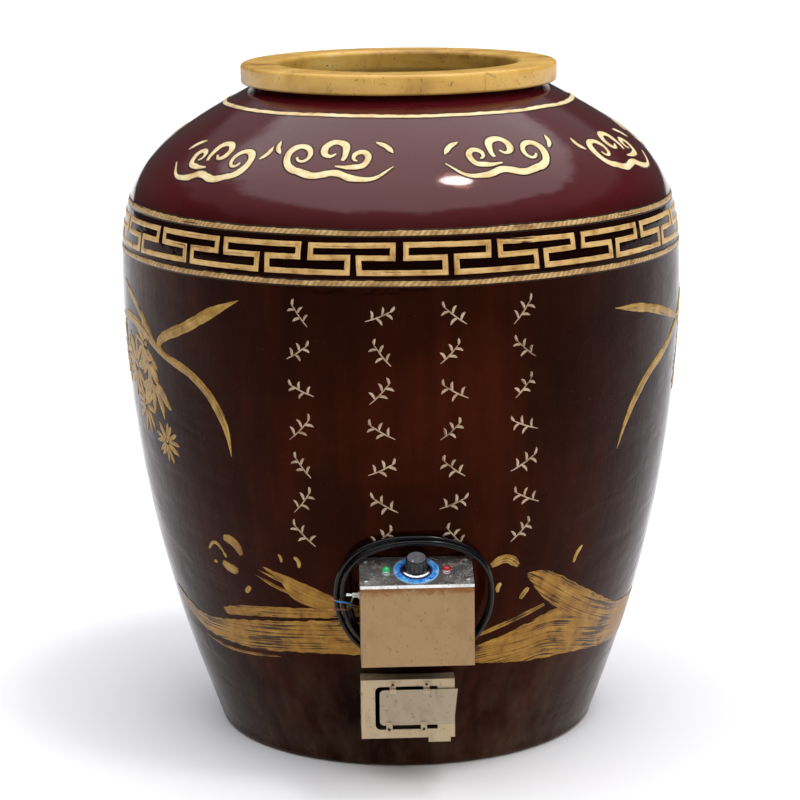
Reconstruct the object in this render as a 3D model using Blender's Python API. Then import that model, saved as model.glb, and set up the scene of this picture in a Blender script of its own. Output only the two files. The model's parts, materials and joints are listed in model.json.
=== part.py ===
# Earthenware soup crock with an electric heater at its foot.
# Metres, Z up. The origin is the middle of the flat base, and the control box faces -Y.
import math

import bmesh
import bpy
from mathutils import Matrix, Vector
from mathutils.geometry import interpolate_bezier

# Clearances
TOUCH = 0.0003            # between pieces that rest on each other
RUNNING = 0.0006          # round a turning or sliding piece

# Crock
CROCK_HEIGHT = 0.9565
BELLY_RADIUS = 0.400
BELLY_HEIGHT = 0.650
FOOT_RADIUS = 0.2745
FOOT_ROUND = 0.010
FOOT_LEAN = math.radians(22)       # of the wall where it leaves the foot
FOOT_PULL = 0.310                  # how far the foot's lean is felt
BELLY_PULL_DOWN = 0.092
BELLY_PULL_UP = 0.158
SHOULDER_LEAN = math.radians(27.6)
SHOULDER_PULL = 0.1915
NECK_RADIUS = 0.2022
RIM_HEIGHT = 0.028
RIM_RADIUS = 0.225
RIM_ROUND = 0.0055
RIM_UNDER_ROUND = 0.004
MOUTH_RADIUS = 0.170
MOUTH_ROUND = 0.007
WALL = 0.024
FLOOR = 0.030
FLOOR_ROUND = 0.024
CROCK_SIDES = 56

# Control box
SHEET = 0.0015
BOX_WIDTH = 0.150
BOX_DEPTH = 0.058
BOX_BOTTOM = 0.196
BOX_FRONT_HEIGHT = 0.113
PANEL_TILT = math.radians(20)
PANEL_LIP = 0.005
LUG_SIZE = 0.013
SCREW_INSET = 0.008
SCREW_RADIUS = 0.0016
SCREW_HEAD_RADIUS = 0.0036
SCREW_HEAD_HEIGHT = 0.0022
SCREW_LENGTH = 0.008

# Fixing bolts of the box
BOLT_SPREAD = 0.044
BOLT_HEIGHT = 0.216
BOLT_RADIUS = 0.004
BOLT_HEAD_WIDTH = 0.013
BOLT_HEAD_HEIGHT = 0.005
BOLT_END = 0.010                   # past the crock's inner face
NUT_HEIGHT = 0.0065
WASHER_RADIUS = 0.012
SPACER_RADIUS = 0.008

# Thermostat and its dial
SHAFT_RADIUS = 0.003
SHAFT_BELOW = 0.010
BUSHING_RADIUS = 0.0045
THERMOSTAT_WIDTH = 0.042
THERMOSTAT_LENGTH = 0.034
THERMOSTAT_DEPTH = 0.022
DIAL_RADIUS = 0.030
DIAL_THICKNESS = 0.0008
SKIRT_RADIUS = 0.0195
SKIRT_HEIGHT = 0.0022
KNOB_BASE_RADIUS = 0.015
KNOB_TOP_RADIUS = 0.0135
KNOB_HEIGHT = 0.0165
KNOB_FLUTES = 12
KNOB_FLUTE_DEPTH = 0.0008
CAP_RADIUS = 0.0123
CAP_HEIGHT = 0.001

# Lamps
LAMP_SPREAD = 0.080
LAMP_BODY_RADIUS = 0.0045
LAMP_BODY_LENGTH = 0.022
LENS_RADIUS = 0.006
LENS_FLANGE = 0.0015
LENS_HEIGHT = 0.0058

# Toggle switch on the left side of the box
TOGGLE_FROM_FRONT = 0.021
TOGGLE_BELOW_EDGE = 0.019          # below the top of the front
TOGGLE_BUSHING_RADIUS = 0.0034
TOGGLE_BUSHING_LENGTH = 0.0105
TOGGLE_BORE_RADIUS = 0.0026
TOGGLE_BORE_DEPTH = 0.006
TOGGLE_NUT_WIDTH = 0.009
TOGGLE_NUT_HEIGHT = 0.002
TOGGLE_BODY_SIZE = (0.013, 0.008, 0.014)
LEVER_PIVOT_DEPTH = 0.003          # of the ball inside the bushing's mouth
LEVER_BALL_RADIUS = 0.0021
LEVER_NECK_RADIUS = 0.0012
LEVER_TIP_RADIUS = 0.002
LEVER_LENGTH = 0.0115
LEVER_THROW = math.radians(25)

# Heater
ELEMENT_RADIUS = 0.005
ELEMENT_RING_RADIUS = 0.150
RING_STEPS = 48
ELEMENT_HEIGHT = 0.078
ELEMENT_LEG_SPREAD = 0.0134
ELEMENT_BEND = 0.025
ELEMENT_RISER_IN = 0.045           # from the inner wall to the risers at their foot
LEAD_X = 0.052
LEAD_HEIGHT = 0.252
LEAD_SLEEVE_RADIUS = 0.016
LEAD_SLEEVE_WALL = 0.002
PLUG_LENGTH = 0.014
CAPILLARY_RADIUS = 0.001
CAPILLARY_RISE = 0.0088            # above the legs in the plug
BULB_RADIUS = 0.003
BULB_LENGTH = 0.060
BULB_SPREAD = 0.016                # from the right riser to the bulb
CLIP_HEIGHT = 0.008
CLIP_WALL = 0.0022
TERMINAL_SIZE = (0.034, 0.015, 0.018)
TERMINAL_FROM_SIDE = 0.008         # of the box
TERMINAL_RISE = 0.034              # above the bottom of the box

# Ash port
PORT_X = -0.011
PORT_WIDTH = 0.127
PORT_HEIGHT = 0.083
PORT_BOTTOM = 0.069
PORT_PROUD = 0.0235                # of the wall at the port's top
PORT_SHEET = 0.0025
PORT_FIT = 0.0005                  # round the sleeve in the wall
WINDOW_LEFT = 0.0189               # from the left edge of the plate
WINDOW_WIDTH = 0.0846
WINDOW_TOP = 0.0098                # below the top edge of the plate
WINDOW_HEIGHT = 0.061
WINDOW_ROUND = 0.007
PORT_TAB_LEFT = 0.091
PORT_TAB_WIDTH = 0.030
PORT_TAB_DROP = 0.0065
DAMPER_LEFT = 0.0248
DAMPER_TOP = 0.0136
DAMPER_HEIGHT = 0.050
DAMPER_TOP_LENGTH = 0.1062
DAMPER_BOTTOM_LENGTH = 0.1007
DAMPER_SHEET = 0.0015
DAMPER_ROUND = 0.006
GUIDE_SHEET = 0.0012
GUIDE_WIDTH = 0.0085
GUIDE_HOOK = 0.0048                # over the edge of the damper
GUIDE_EAR = 0.0105                 # above the edge of the damper
GUIDE_PLACES_TOP = (0.043, 0.0888)
GUIDE_PLACES_BOTTOM = (0.0377, 0.0847)
RIVET_RADIUS = 0.0016

# Cord
CORD_DIAMETER = 0.0075
CORD_STEP = 0.0088                 # between neighbouring turns, and between the two layers
COIL_HALF_WIDTH = 0.1062
COIL_MIDDLE_HEIGHT = 0.277
COIL_RISE = 0.084
COIL_DROP = 0.107
COIL_SQUARENESS = 2.35             # of the upper half, which rests on the corners of the box
COIL_WALL_GAP = 0.0014
COIL_POINTS = 24                   # in one turn
COIL_START = 45.0                  # degrees from the bottom of the coil, clockwise from the front
COIL_ENTRY = 0.006                 # how far in front of its layer the coil starts
COIL_ENTRY_TURN = 40.0
COIL_REVERSE = 450.0               # where the spiral stops widening
COIL_END = 735.0
CORE_DIAMETER = 0.0024
# Where the flex goes: steps from the end of the gland, from the end of the coil, and from the sheath's end
LEAD_STEPS = [(-0.0388, 0.0130, -0.0014), (-0.0638, 0.0140, 0.0011)]
TAIL_STEPS = [(-0.0176, -0.0005, 0.0076), (-0.0286, -0.0025, 0.0181), (-0.0386, -0.0070, 0.0306),
              (-0.0456, -0.0115, 0.0446), (-0.0506, -0.0150, 0.0586), (-0.0541, -0.0180, 0.0736)]
CORE_SEATS = {"blue_core": (0.0016, -0.0010), "brown_core": (-0.0016, -0.0010), "earth_core": (0.0002, 0.0018)}
CORE_STEPS = {
    "blue_core": [(0.0010, -0.0090, 0.0090), (-0.0050, -0.0185, 0.0140), (-0.0180, -0.0205, 0.0170),
                  (-0.0270, -0.0205, 0.0215)],
    "brown_core": [(-0.0008, -0.0120, 0.0038), (-0.0075, -0.0195, 0.0048), (-0.0210, -0.0195, 0.0055),
                   (-0.0310, -0.0190, 0.0045)],
    "earth_core": [(0.0020, -0.0010, 0.0120), (0.0040, -0.0050, 0.0185), (0.0040, -0.0100, 0.0240)],
}
GLAND_X = 0.046
GLAND_FROM_BACK = 0.016
GLAND_RADIUS = 0.0058
GLAND_TIP_RADIUS = 0.0048
GLAND_BOOT_LENGTH = 0.026
GLAND_TURN = math.radians(27)      # of the boot, towards the crock
GLAND_FLANGE_RADIUS = 0.009
GLAND_FLANGE = 0.0015
GLAND_THREAD_LENGTH = 0.007

# Turning rack for the soup pots
TIER_HEIGHTS = (0.220, 0.420, 0.620)
TIER_RADII = (0.250, 0.285, 0.285)
SHELF_SHEET = 0.002
SHELF_FLANGE = 0.012
SHELF_SPLIT = 0.003                # between the two halves of a tier
SHELF_SLOTS = 7                    # in each half
SLOT_WIDTH = 0.014
SLOT_INNER = 0.085
SLOT_MARGIN = 0.030                # from the slots to the edge
POST_RADIUS = 0.019
POST_BORE = 0.0128
POST_TOP = 0.640
PIN_RADIUS = 0.012
PIN_TOP = 0.110
BASE_RADIUS = 0.046
BASE_SHEET = 0.008
BASE_BOSS_RADIUS = 0.024
BASE_BOSS_TOP = 0.058
BASE_ARM_WIDTH = 0.014
WASHER_THICKNESS = 0.003
SADDLE_LENGTH = 0.026
SADDLE_CLEARANCE = 0.0010         # round the heater, which grows when it is hot
SPIDER_HUB_RADIUS = 0.030
SPIDER_HUB_HEIGHT = 0.016
SPIDER_ARM_WIDTH = 0.018
SPIDER_ARM_SHEET = 0.005
SPIDER_CLEARANCE = 0.002           # from the arms to the rim of the shelves

# Finishes: colour, roughness, metallic
FINISHES = {
    "glaze": ((0.050, 0.012, 0.008), 0.16, 0.0),
    "tan_steel": ((0.380, 0.250, 0.130), 0.55, 0.6),
    "grey_steel": ((0.430, 0.380, 0.270), 0.60, 0.5),
    "bright_steel": ((0.550, 0.540, 0.520), 0.18, 1.0),
    "zinc": ((0.480, 0.470, 0.450), 0.35, 1.0),
    "chrome": ((0.800, 0.800, 0.800), 0.08, 1.0),
    "iron": ((0.060, 0.055, 0.050), 0.65, 0.8),
    "heater_steel": ((0.230, 0.210, 0.190), 0.40, 1.0),
    "copper": ((0.720, 0.300, 0.130), 0.30, 1.0),
    "brass": ((0.640, 0.460, 0.180), 0.30, 1.0),
    "ceramic": ((0.800, 0.770, 0.700), 0.45, 0.0),
    "black_plastic": ((0.012, 0.012, 0.012), 0.35, 0.0),
    "grey_plastic": ((0.150, 0.150, 0.160), 0.40, 0.0),
    "blue_plate": ((0.030, 0.180, 0.550), 0.30, 0.0),
    "green_lens": ((0.010, 0.400, 0.080), 0.12, 0.0),
    "red_lens": ((0.450, 0.010, 0.010), 0.12, 0.0),
    "rubber": ((0.010, 0.010, 0.010), 0.50, 0.0),
    "brown_sleeve": ((0.160, 0.060, 0.030), 0.45, 0.0),
    "blue_sleeve": ((0.050, 0.220, 0.550), 0.45, 0.0),
    "earth_sleeve": ((0.350, 0.450, 0.050), 0.45, 0.0),
}

for old in list(bpy.data.objects):
    bpy.data.objects.remove(old)


# Making objects

def finish(name, kind):
    colour, roughness, metallic = FINISHES[kind]
    material = bpy.data.materials.new(name + "_" + kind)
    material.use_nodes = True
    shader = material.node_tree.nodes["Principled BSDF"]
    shader.inputs["Base Color"].default_value = (*colour, 1.0)
    shader.inputs["Roughness"].default_value = roughness
    shader.inputs["Metallic"].default_value = metallic
    material.diffuse_color = (*colour, 1.0)
    return material


def place(name, data, at, turn, parent):
    thing = bpy.data.objects.new(name, data)
    bpy.context.scene.collection.objects.link(thing)
    thing.location = at
    thing.rotation_euler = turn
    thing.parent = parent
    return thing


def axis_at(name, at, turn=(0, 0, 0)):
    return place(name, None, at, turn, None)


def solid(name, shape, kind, at=(0, 0, 0), turn=(0, 0, 0), parent=None, smooth=None):
    bmesh.ops.remove_doubles(shape, verts=shape.verts, dist=1e-6)
    bmesh.ops.recalc_face_normals(shape, faces=shape.faces)
    mesh = bpy.data.meshes.new(name)
    shape.to_mesh(mesh)
    shape.free()
    mesh.materials.append(finish(name, kind))
    if smooth is not None:
        mesh.shade_smooth()
        mesh.set_sharp_from_angle(angle=math.radians(smooth))
    return place(name, mesh, at, turn, parent)


def helper(shape, at=(0, 0, 0), turn=(0, 0, 0), parent=None):
    thing = solid("helper", shape, "zinc", at, turn, parent)
    thing.hide_render = True
    thing.display_type = "WIRE"
    return thing


def combine(thing, operation, *others):
    for other in others:
        step = thing.modifiers.new(operation.lower(), "BOOLEAN")
        step.operation = operation
        step.solver = "EXACT"
        step.object = other
    return thing


def cut(thing, *others):
    return combine(thing, "DIFFERENCE", *others)


def join(thing, *others):
    return combine(thing, "UNION", *others)


# Shapes

def bar(low, high):
    shape = bmesh.new()
    bmesh.ops.create_cube(shape, size=1.0)
    low, high = Vector(low), Vector(high)
    bmesh.ops.scale(shape, vec=high - low, verts=shape.verts)
    bmesh.ops.translate(shape, vec=(low + high) / 2, verts=shape.verts)
    return shape


def rod(radius, low, high, sides=16, top_radius=None):
    shape = bmesh.new()
    bmesh.ops.create_cone(shape, cap_ends=True, segments=sides, radius1=radius,
                          radius2=radius if top_radius is None else top_radius, depth=high - low)
    bmesh.ops.translate(shape, vec=(0, 0, (low + high) / 2), verts=shape.verts)
    return shape


def hexagon(width, low, high):
    return rod(width / 2 / math.cos(math.radians(30)), low, high, sides=6)


def turned(outline, sides=24, closed=False):
    """Spin an outline of (radius, height) points round Z."""
    shape = bmesh.new()
    points = [shape.verts.new((radius, 0, height)) for radius, height in outline]
    edges = [shape.edges.new(pair) for pair in zip(points, points[1:])]
    if closed:
        edges.append(shape.edges.new((points[-1], points[0])))
    bmesh.ops.spin(shape, geom=points + edges, cent=(0, 0, 0), axis=(0, 0, 1), dvec=(0, 0, 0),
                   angle=math.tau, steps=sides, use_merge=True, use_duplicate=False)
    bmesh.ops.remove_doubles(shape, verts=shape.verts, dist=1e-6)
    return shape


def ring(inner, outer, low, high, sides=24):
    return turned([(inner, low), (outer, low), (outer, high), (inner, high)], sides, closed=True)


def prism(outline, depth, matrix=Matrix()):
    """Extrude an outline of (x, y) points along Z, then place it by a matrix."""
    shape = bmesh.new()
    face = shape.faces.new([shape.verts.new((x, y, 0)) for x, y in outline])
    grown = bmesh.ops.extrude_face_region(shape, geom=[face])["geom"]
    bmesh.ops.translate(shape, vec=(0, 0, depth), verts=[g for g in grown if isinstance(g, bmesh.types.BMVert)])
    bmesh.ops.transform(shape, matrix=matrix, verts=shape.verts)
    return shape


def arc(centre, radius, start, end, steps):
    """Points on an arc, from one angle to another in degrees, both ends included."""
    turns = [math.radians(start + (end - start) * i / steps) for i in range(steps + 1)]
    return [(centre[0] + radius * math.cos(t), centre[1] + radius * math.sin(t)) for t in turns]


# Side outlines are drawn as (y, z) and extruded along X
SIDEWAYS = Matrix(((0, 0, 1, 0), (1, 0, 0, 0), (0, 1, 0, 0), (0, 0, 0, 1)))
# Front outlines are drawn as (x, z) and extruded towards +Y
BACKWARDS = Matrix(((1, 0, 0, 0), (0, 0, 1, 0), (0, 1, 0, 0), (0, 0, 0, 1)))
# A rod along Z is laid along Y
ALONG_Y = (math.radians(-90), 0, 0)


def tube(name, points, radius, kind, resolution=2, radii=None):
    curve = bpy.data.curves.new(name, "CURVE")
    curve.dimensions = "3D"
    curve.bevel_depth = radius
    curve.bevel_resolution = resolution
    curve.use_fill_caps = True
    line = curve.splines.new("POLY")
    line.points.add(len(points) - 1)
    for index, point in enumerate(points):
        line.points[index].co = (*point, 1.0)
        if radii:
            line.points[index].radius = radii[index] / radius
    line.use_smooth = True
    curve.materials.append(finish(name, kind))
    return place(name, curve, (0, 0, 0), (0, 0, 0), None)


def smooth_route(route, spacing):
    """Even points along a smooth curve through a route's own points."""
    route = [Vector(p) for p in route]
    ends = [route[0] * 2 - route[1]] + route + [route[-1] * 2 - route[-2]]
    fine = []
    for a, b, c, d in zip(ends, ends[1:], ends[2:], ends[3:]):
        for i in range(20):
            t = i / 20
            fine.append(0.5 * (2 * b + (c - a) * t + (2 * a - 5 * b + 4 * c - d) * t ** 2
                               + (3 * b - a - 3 * c + d) * t ** 3))
    fine.append(route[-1])
    length = sum((q - p).length for p, q in zip(fine, fine[1:]))
    count = max(2, round(length / spacing))
    points, walked, target = [fine[0]], 0.0, length / count
    for p, q in zip(fine, fine[1:]):
        step = (q - p).length
        while walked + step >= target and len(points) < count:
            points.append(p.lerp(q, (target - walked) / step))
            target += length / count
        walked += step
    return points + [fine[-1]]


def rounded_route(corners, bend, steps=4):
    """Straight runs between corners, each corner turned by an arc of the bend radius."""
    corners = [Vector(c) for c in corners]
    points = [corners[0]]
    for before, corner, after in zip(corners, corners[1:], corners[2:]):
        into, out = (before - corner).normalized(), (after - corner).normalized()
        half = into.angle(out) / 2
        reach = bend / math.tan(half)
        centre = corner + (into + out).normalized() * bend / math.sin(half)
        start, end = corner + into * reach - centre, corner + out * reach - centre
        for i in range(steps + 1):
            points.append(centre + start.slerp(end, i / steps) * bend)
    return points + [corners[-1]]


# Crock

neck_height = CROCK_HEIGHT - RIM_HEIGHT


def wall_outline():
    """The outer wall from the foot to the neck, as (radius, height)."""
    lower = interpolate_bezier(
        (FOOT_RADIUS, FOOT_ROUND),
        (FOOT_RADIUS + FOOT_PULL * math.sin(FOOT_LEAN), FOOT_ROUND + FOOT_PULL * math.cos(FOOT_LEAN)),
        (BELLY_RADIUS, BELLY_HEIGHT - BELLY_PULL_DOWN), (BELLY_RADIUS, BELLY_HEIGHT), 9)
    upper = interpolate_bezier(
        (BELLY_RADIUS, BELLY_HEIGHT), (BELLY_RADIUS, BELLY_HEIGHT + BELLY_PULL_UP),
        (NECK_RADIUS + SHOULDER_PULL * math.cos(SHOULDER_LEAN),
         neck_height - SHOULDER_PULL * math.sin(SHOULDER_LEAN)), (NECK_RADIUS, neck_height), 10)
    return [tuple(p) for p in lower + upper[1:]]


def outward(points, index):
    """The outward normal of an outline that runs upwards."""
    before, after = points[max(index - 1, 0)], points[min(index + 1, len(points) - 1)]
    along = Vector((after[0] - before[0], after[1] - before[1])).normalized()
    return Vector((along.y, -along.x))


def shifted(points, distance):
    return [tuple(Vector(p) + outward(points, i) * distance) for i, p in enumerate(points)]


def radius_at(points, height):
    for (r0, z0), (r1, z1) in zip(points, points[1:]):
        if z0 <= height <= z1:
            return r0 + (r1 - r0) * (height - z0) / (z1 - z0)
    return points[0][0]


def crock_outline(grown=0.0):
    """The whole section of the crock, from the middle of the base to the middle of the floor."""
    outer = shifted(wall_outline(), grown)
    inner = shifted(wall_outline(), -WALL - grown)
    top, rim, mouth = CROCK_HEIGHT + grown, RIM_RADIUS + grown, MOUTH_RADIUS - grown
    foot = arc((outer[0][0] - FOOT_ROUND, FOOT_ROUND), FOOT_ROUND, -90, 0, 2)
    under = arc((rim - RIM_UNDER_ROUND, neck_height + RIM_UNDER_ROUND), RIM_UNDER_ROUND, -90, 0, 1)
    over = arc((rim - RIM_ROUND, top - RIM_ROUND), RIM_ROUND, 0, 90, 4)
    lip = arc((mouth + MOUTH_ROUND, top - MOUTH_ROUND), MOUTH_ROUND, 90, 180, 2)
    floor = FLOOR + grown
    kept = [p for p in inner if p[1] > floor + FLOOR_ROUND + 0.01 and p[0] > mouth + 0.004]
    corner = radius_at(inner, floor + FLOOR_ROUND)
    neck = (mouth, kept[-1][1] + (kept[-1][0] - mouth) * math.tan(SHOULDER_LEAN))
    bottom = arc((corner - FLOOR_ROUND, floor + FLOOR_ROUND), FLOOR_ROUND, 0, -90, 3)
    return ([(0, -grown)] + foot[:-1] + outer + under + over + lip + [neck] + kept[::-1] + bottom
            + [(0, floor)])


outer_wall = wall_outline()
inner_wall = shifted(outer_wall, -WALL)


def front_of_wall(height, x=0.0, wall=outer_wall):
    """Y of the wall's front at a height."""
    return -math.sqrt(radius_at(wall, height) ** 2 - x ** 2)


def build_crock():
    crock = solid("crock_body", turned(crock_outline(), CROCK_SIDES), "glaze", smooth=40)
    port_hole = helper(bar((port_left - PORT_FIT, -BELLY_RADIUS, PORT_BOTTOM - PORT_FIT),
                           (port_left + PORT_WIDTH + PORT_FIT, -FOOT_RADIUS / 2, port_top + PORT_FIT)))
    lead_hole = helper(rod(LEAD_SLEEVE_RADIUS + RUNNING, 0, BELLY_RADIUS / 2),
                       (LEAD_X, -BELLY_RADIUS, LEAD_HEIGHT), ALONG_Y)
    cut(crock, port_hole, lead_hole)
    for side in (-1, 1):
        cut(crock, helper(rod(BOLT_RADIUS + 0.001, 0, BELLY_RADIUS / 2, 12),
                          (side * BOLT_SPREAD / 2, -BELLY_RADIUS, BOLT_HEIGHT), ALONG_Y))


# What is cut to the wall's curve is cut by this, which stands a touch outside it
def wall_cutter():
    return helper(turned(crock_outline(TOUCH), CROCK_SIDES))


# Ash port: a steel sleeve through the wall, with a sliding shutter on its face

port_left = PORT_X - PORT_WIDTH / 2
port_top = PORT_BOTTOM + PORT_HEIGHT
port_face = front_of_wall(port_top) - PORT_PROUD
port_back = front_of_wall(port_top, 0, inner_wall)
damper_top = port_top - DAMPER_TOP
damper_bottom = damper_top - DAMPER_HEIGHT


def build_port_frame():
    right = port_left + PORT_WIDTH
    frame = solid("port_frame", bar((port_left, port_face, PORT_BOTTOM), (right, port_back, port_top)),
                  "grey_steel")
    tab = helper(bar((port_left + PORT_TAB_LEFT, port_face, PORT_BOTTOM - PORT_TAB_DROP),
                     (port_left + PORT_TAB_LEFT + PORT_TAB_WIDTH, port_face + PORT_SHEET, PORT_BOTTOM + PORT_SHEET)))
    hollow = helper(bar((port_left + PORT_SHEET, port_face + PORT_SHEET, PORT_BOTTOM + PORT_SHEET),
                        (right - PORT_SHEET, port_back + PORT_SHEET, port_top - PORT_SHEET)))
    left, top = port_left + WINDOW_LEFT, port_top - WINDOW_TOP
    window = helper(prism(left_rounded(left, left + WINDOW_WIDTH, left + WINDOW_WIDTH, top - WINDOW_HEIGHT,
                                       top, WINDOW_ROUND), 4 * PORT_SHEET, BACKWARDS),
                    (0, port_face - PORT_SHEET, 0))
    join(frame, tab)
    cut(frame, hollow, window)


def left_rounded(left, right_top, right_bottom, bottom, top, bend):
    """A plate outline as (x, z) whose two left corners are rounded."""
    return ([(right_bottom, bottom), (right_top, top)]
            + arc((left + bend, top - bend), bend, 90, 180, 3)
            + arc((left + bend, bottom + bend), bend, 180, 270, 3))


def guide_outline():
    """A clip as (y, z): an ear on the port's face, and a hook round the edge of the damper.

    The edge of the damper is at z = 0, the port's face at y = 0, and the hook opens downwards.
    """
    back = -TOUCH
    ear = back - GUIDE_SHEET
    front = ear - 2 * TOUCH - DAMPER_SHEET - GUIDE_SHEET
    return [(back, GUIDE_EAR), (ear, GUIDE_EAR), (ear, TOUCH + GUIDE_SHEET), (front, TOUCH + GUIDE_SHEET),
            (front, -GUIDE_HOOK), (front + GUIDE_SHEET, -GUIDE_HOOK), (front + GUIDE_SHEET, TOUCH),
            (ear, TOUCH), (ear, -GUIDE_HOOK), (back, -GUIDE_HOOK)]


def build_damper():
    damper_back = port_face - 2 * TOUCH - GUIDE_SHEET
    outline = left_rounded(0, DAMPER_TOP_LENGTH, DAMPER_BOTTOM_LENGTH, 0, DAMPER_HEIGHT, DAMPER_ROUND)
    solid("damper_plate", prism(outline, DAMPER_SHEET, BACKWARDS), "grey_steel",
          (port_left + DAMPER_LEFT, damper_back - DAMPER_SHEET, damper_bottom))
    places = [(x, damper_top, 1) for x in GUIDE_PLACES_TOP] + [(x, damper_bottom, -1) for x in GUIDE_PLACES_BOTTOM]
    for number, (x, edge, up) in enumerate(places, 1):
        shape = prism([(y, z * up) for y, z in guide_outline()], GUIDE_WIDTH, SIDEWAYS)
        at = (port_left + x - GUIDE_WIDTH / 2, port_face, edge)
        guide = solid("damper_guide_%d" % number, shape, "grey_steel", at)
        head = rod(RIVET_RADIUS * 0.6, 0, RIVET_RADIUS * 0.6 + GUIDE_SHEET / 2, 8, RIVET_RADIUS)
        bmesh.ops.rotate(head, cent=(0, 0, 0), matrix=Matrix.Rotation(math.radians(-90), 3, "X"), verts=head.verts)
        join(guide, helper(head, (at[0] + GUIDE_WIDTH / 2,
                                  port_face - TOUCH - GUIDE_SHEET - RIVET_RADIUS * 0.6,
                                  edge + up * (GUIDE_EAR - 2 * RIVET_RADIUS))))


# Control box: a folded steel case on a back plate, closed by a sloping panel

panel_rise = BOX_DEPTH * math.tan(PANEL_TILT)
panel_length = BOX_DEPTH / math.cos(PANEL_TILT)
edge_front = BOX_BOTTOM + BOX_FRONT_HEIGHT         # top of the panel at the front
edge_back = edge_front + panel_rise
box_back = front_of_wall(edge_back) - TOUCH        # rear face of the back plate
box_front = box_back - BOX_DEPTH
plate_front = box_back - SHEET
drop = (SHEET + TOUCH) / math.cos(PANEL_TILT)      # from the panel's top to what it rests on, upright
panel_middle = Vector((0, (box_front + box_back) / 2, (edge_front + edge_back) / 2))


def panel_height(y):
    return edge_front + (y - box_front) * math.tan(PANEL_TILT)


def build_box():
    half = BOX_WIDTH / 2
    back = solid("box_back_plate", bar((-half, plate_front, BOX_BOTTOM),
                                       (half, box_back, panel_height(plate_front) - drop)), "tan_steel")
    for side in (-1, 1):
        cut(back, helper(rod(BOLT_RADIUS + RUNNING, -SHEET, 2 * SHEET, 12),
                         (side * BOLT_SPREAD / 2, plate_front, BOLT_HEIGHT), ALONG_Y))
    cut(back, helper(rod(LEAD_SLEEVE_RADIUS - LEAD_SLEEVE_WALL, -SHEET, 2 * SHEET),
                     (LEAD_X, plate_front, LEAD_HEIGHT), ALONG_Y))

    rear = plate_front - TOUCH
    section = [(box_front, BOX_BOTTOM), (rear, BOX_BOTTOM), (rear, panel_height(rear) - drop),
               (box_front, edge_front - drop)]
    room = [(box_front + SHEET, BOX_BOTTOM + SHEET), (rear + SHEET, BOX_BOTTOM + SHEET),
            (rear + SHEET, edge_back + half), (box_front + SHEET, edge_back + half)]
    case = solid("box_case", prism(section, BOX_WIDTH, SIDEWAYS), "tan_steel", (-half, 0, 0))
    cut(case, helper(prism(room, BOX_WIDTH - 2 * SHEET, SIDEWAYS), (SHEET - half, 0, 0)))
    # Lugs under the corners of the panel take its screws
    top = -SHEET - 2 * TOUCH
    for x, y in screw_places:
        side, fore = math.copysign(1, x), math.copysign(1, y)
        low_x, high_x = sorted((side * (half - LUG_SIZE), side * (half - SHEET / 2)))
        edge = panel_length / 2 - (SHEET / 2 if fore < 0 else 3 * SHEET)
        low_y, high_y = sorted((fore * (edge - LUG_SIZE), fore * edge))
        join(case, helper(bar((low_x, low_y, top - SHEET), (high_x, high_y, top)), parent=panel_axis))
    for x, y in screw_places:
        cut(case, helper(rod(SCREW_RADIUS + RUNNING, -SCREW_LENGTH, 0, 8), (x, y, 0), parent=panel_axis))
    cut(case, helper(rod(GLAND_RADIUS + TOUCH, -SHEET, 2 * SHEET, 16), (GLAND_X, gland_y, BOX_BOTTOM)))
    cut(case, helper(rod(TOGGLE_BUSHING_RADIUS + TOUCH, -SHEET, SHEET, 16), parent=toggle_axis))


def build_panel():
    lip_front = box_front - TOUCH - SHEET
    under = SHEET / math.cos(PANEL_TILT)
    inner = box_front - TOUCH
    section = [(box_back, edge_back), (lip_front, panel_height(lip_front)),
               (lip_front, edge_front - PANEL_LIP), (inner, edge_front - PANEL_LIP),
               (inner, panel_height(inner) - under), (box_back, edge_back - under)]
    panel = solid("control_panel", prism(section, BOX_WIDTH, SIDEWAYS), "bright_steel",
                  (-BOX_WIDTH / 2, 0, 0))
    holes = [(0, 0, BUSHING_RADIUS + TOUCH, 16)]
    holes += [(side * LAMP_SPREAD / 2, 0, LAMP_BODY_RADIUS + TOUCH, 16) for side in (-1, 1)]
    holes += [(x, y, SCREW_RADIUS + RUNNING, 8) for x, y in screw_places]
    for x, y, radius, sides in holes:
        cut(panel, helper(rod(radius, -3 * SHEET, 2 * SHEET, sides), (x, y, 0), parent=panel_axis))
    for number, (x, y) in enumerate(screw_places, 1):
        outline = [(0, -SCREW_LENGTH), (SCREW_RADIUS, -SCREW_LENGTH), (SCREW_RADIUS, TOUCH),
                   (SCREW_HEAD_RADIUS, TOUCH), (SCREW_HEAD_RADIUS, TOUCH + SCREW_HEAD_HEIGHT * 0.55),
                   (SCREW_HEAD_RADIUS * 0.6, TOUCH + SCREW_HEAD_HEIGHT), (0, TOUCH + SCREW_HEAD_HEIGHT)]
        solid("panel_screw_%d" % number, turned(outline, 10), "zinc", (x, y, 0), parent=panel_axis, smooth=50)


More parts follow.
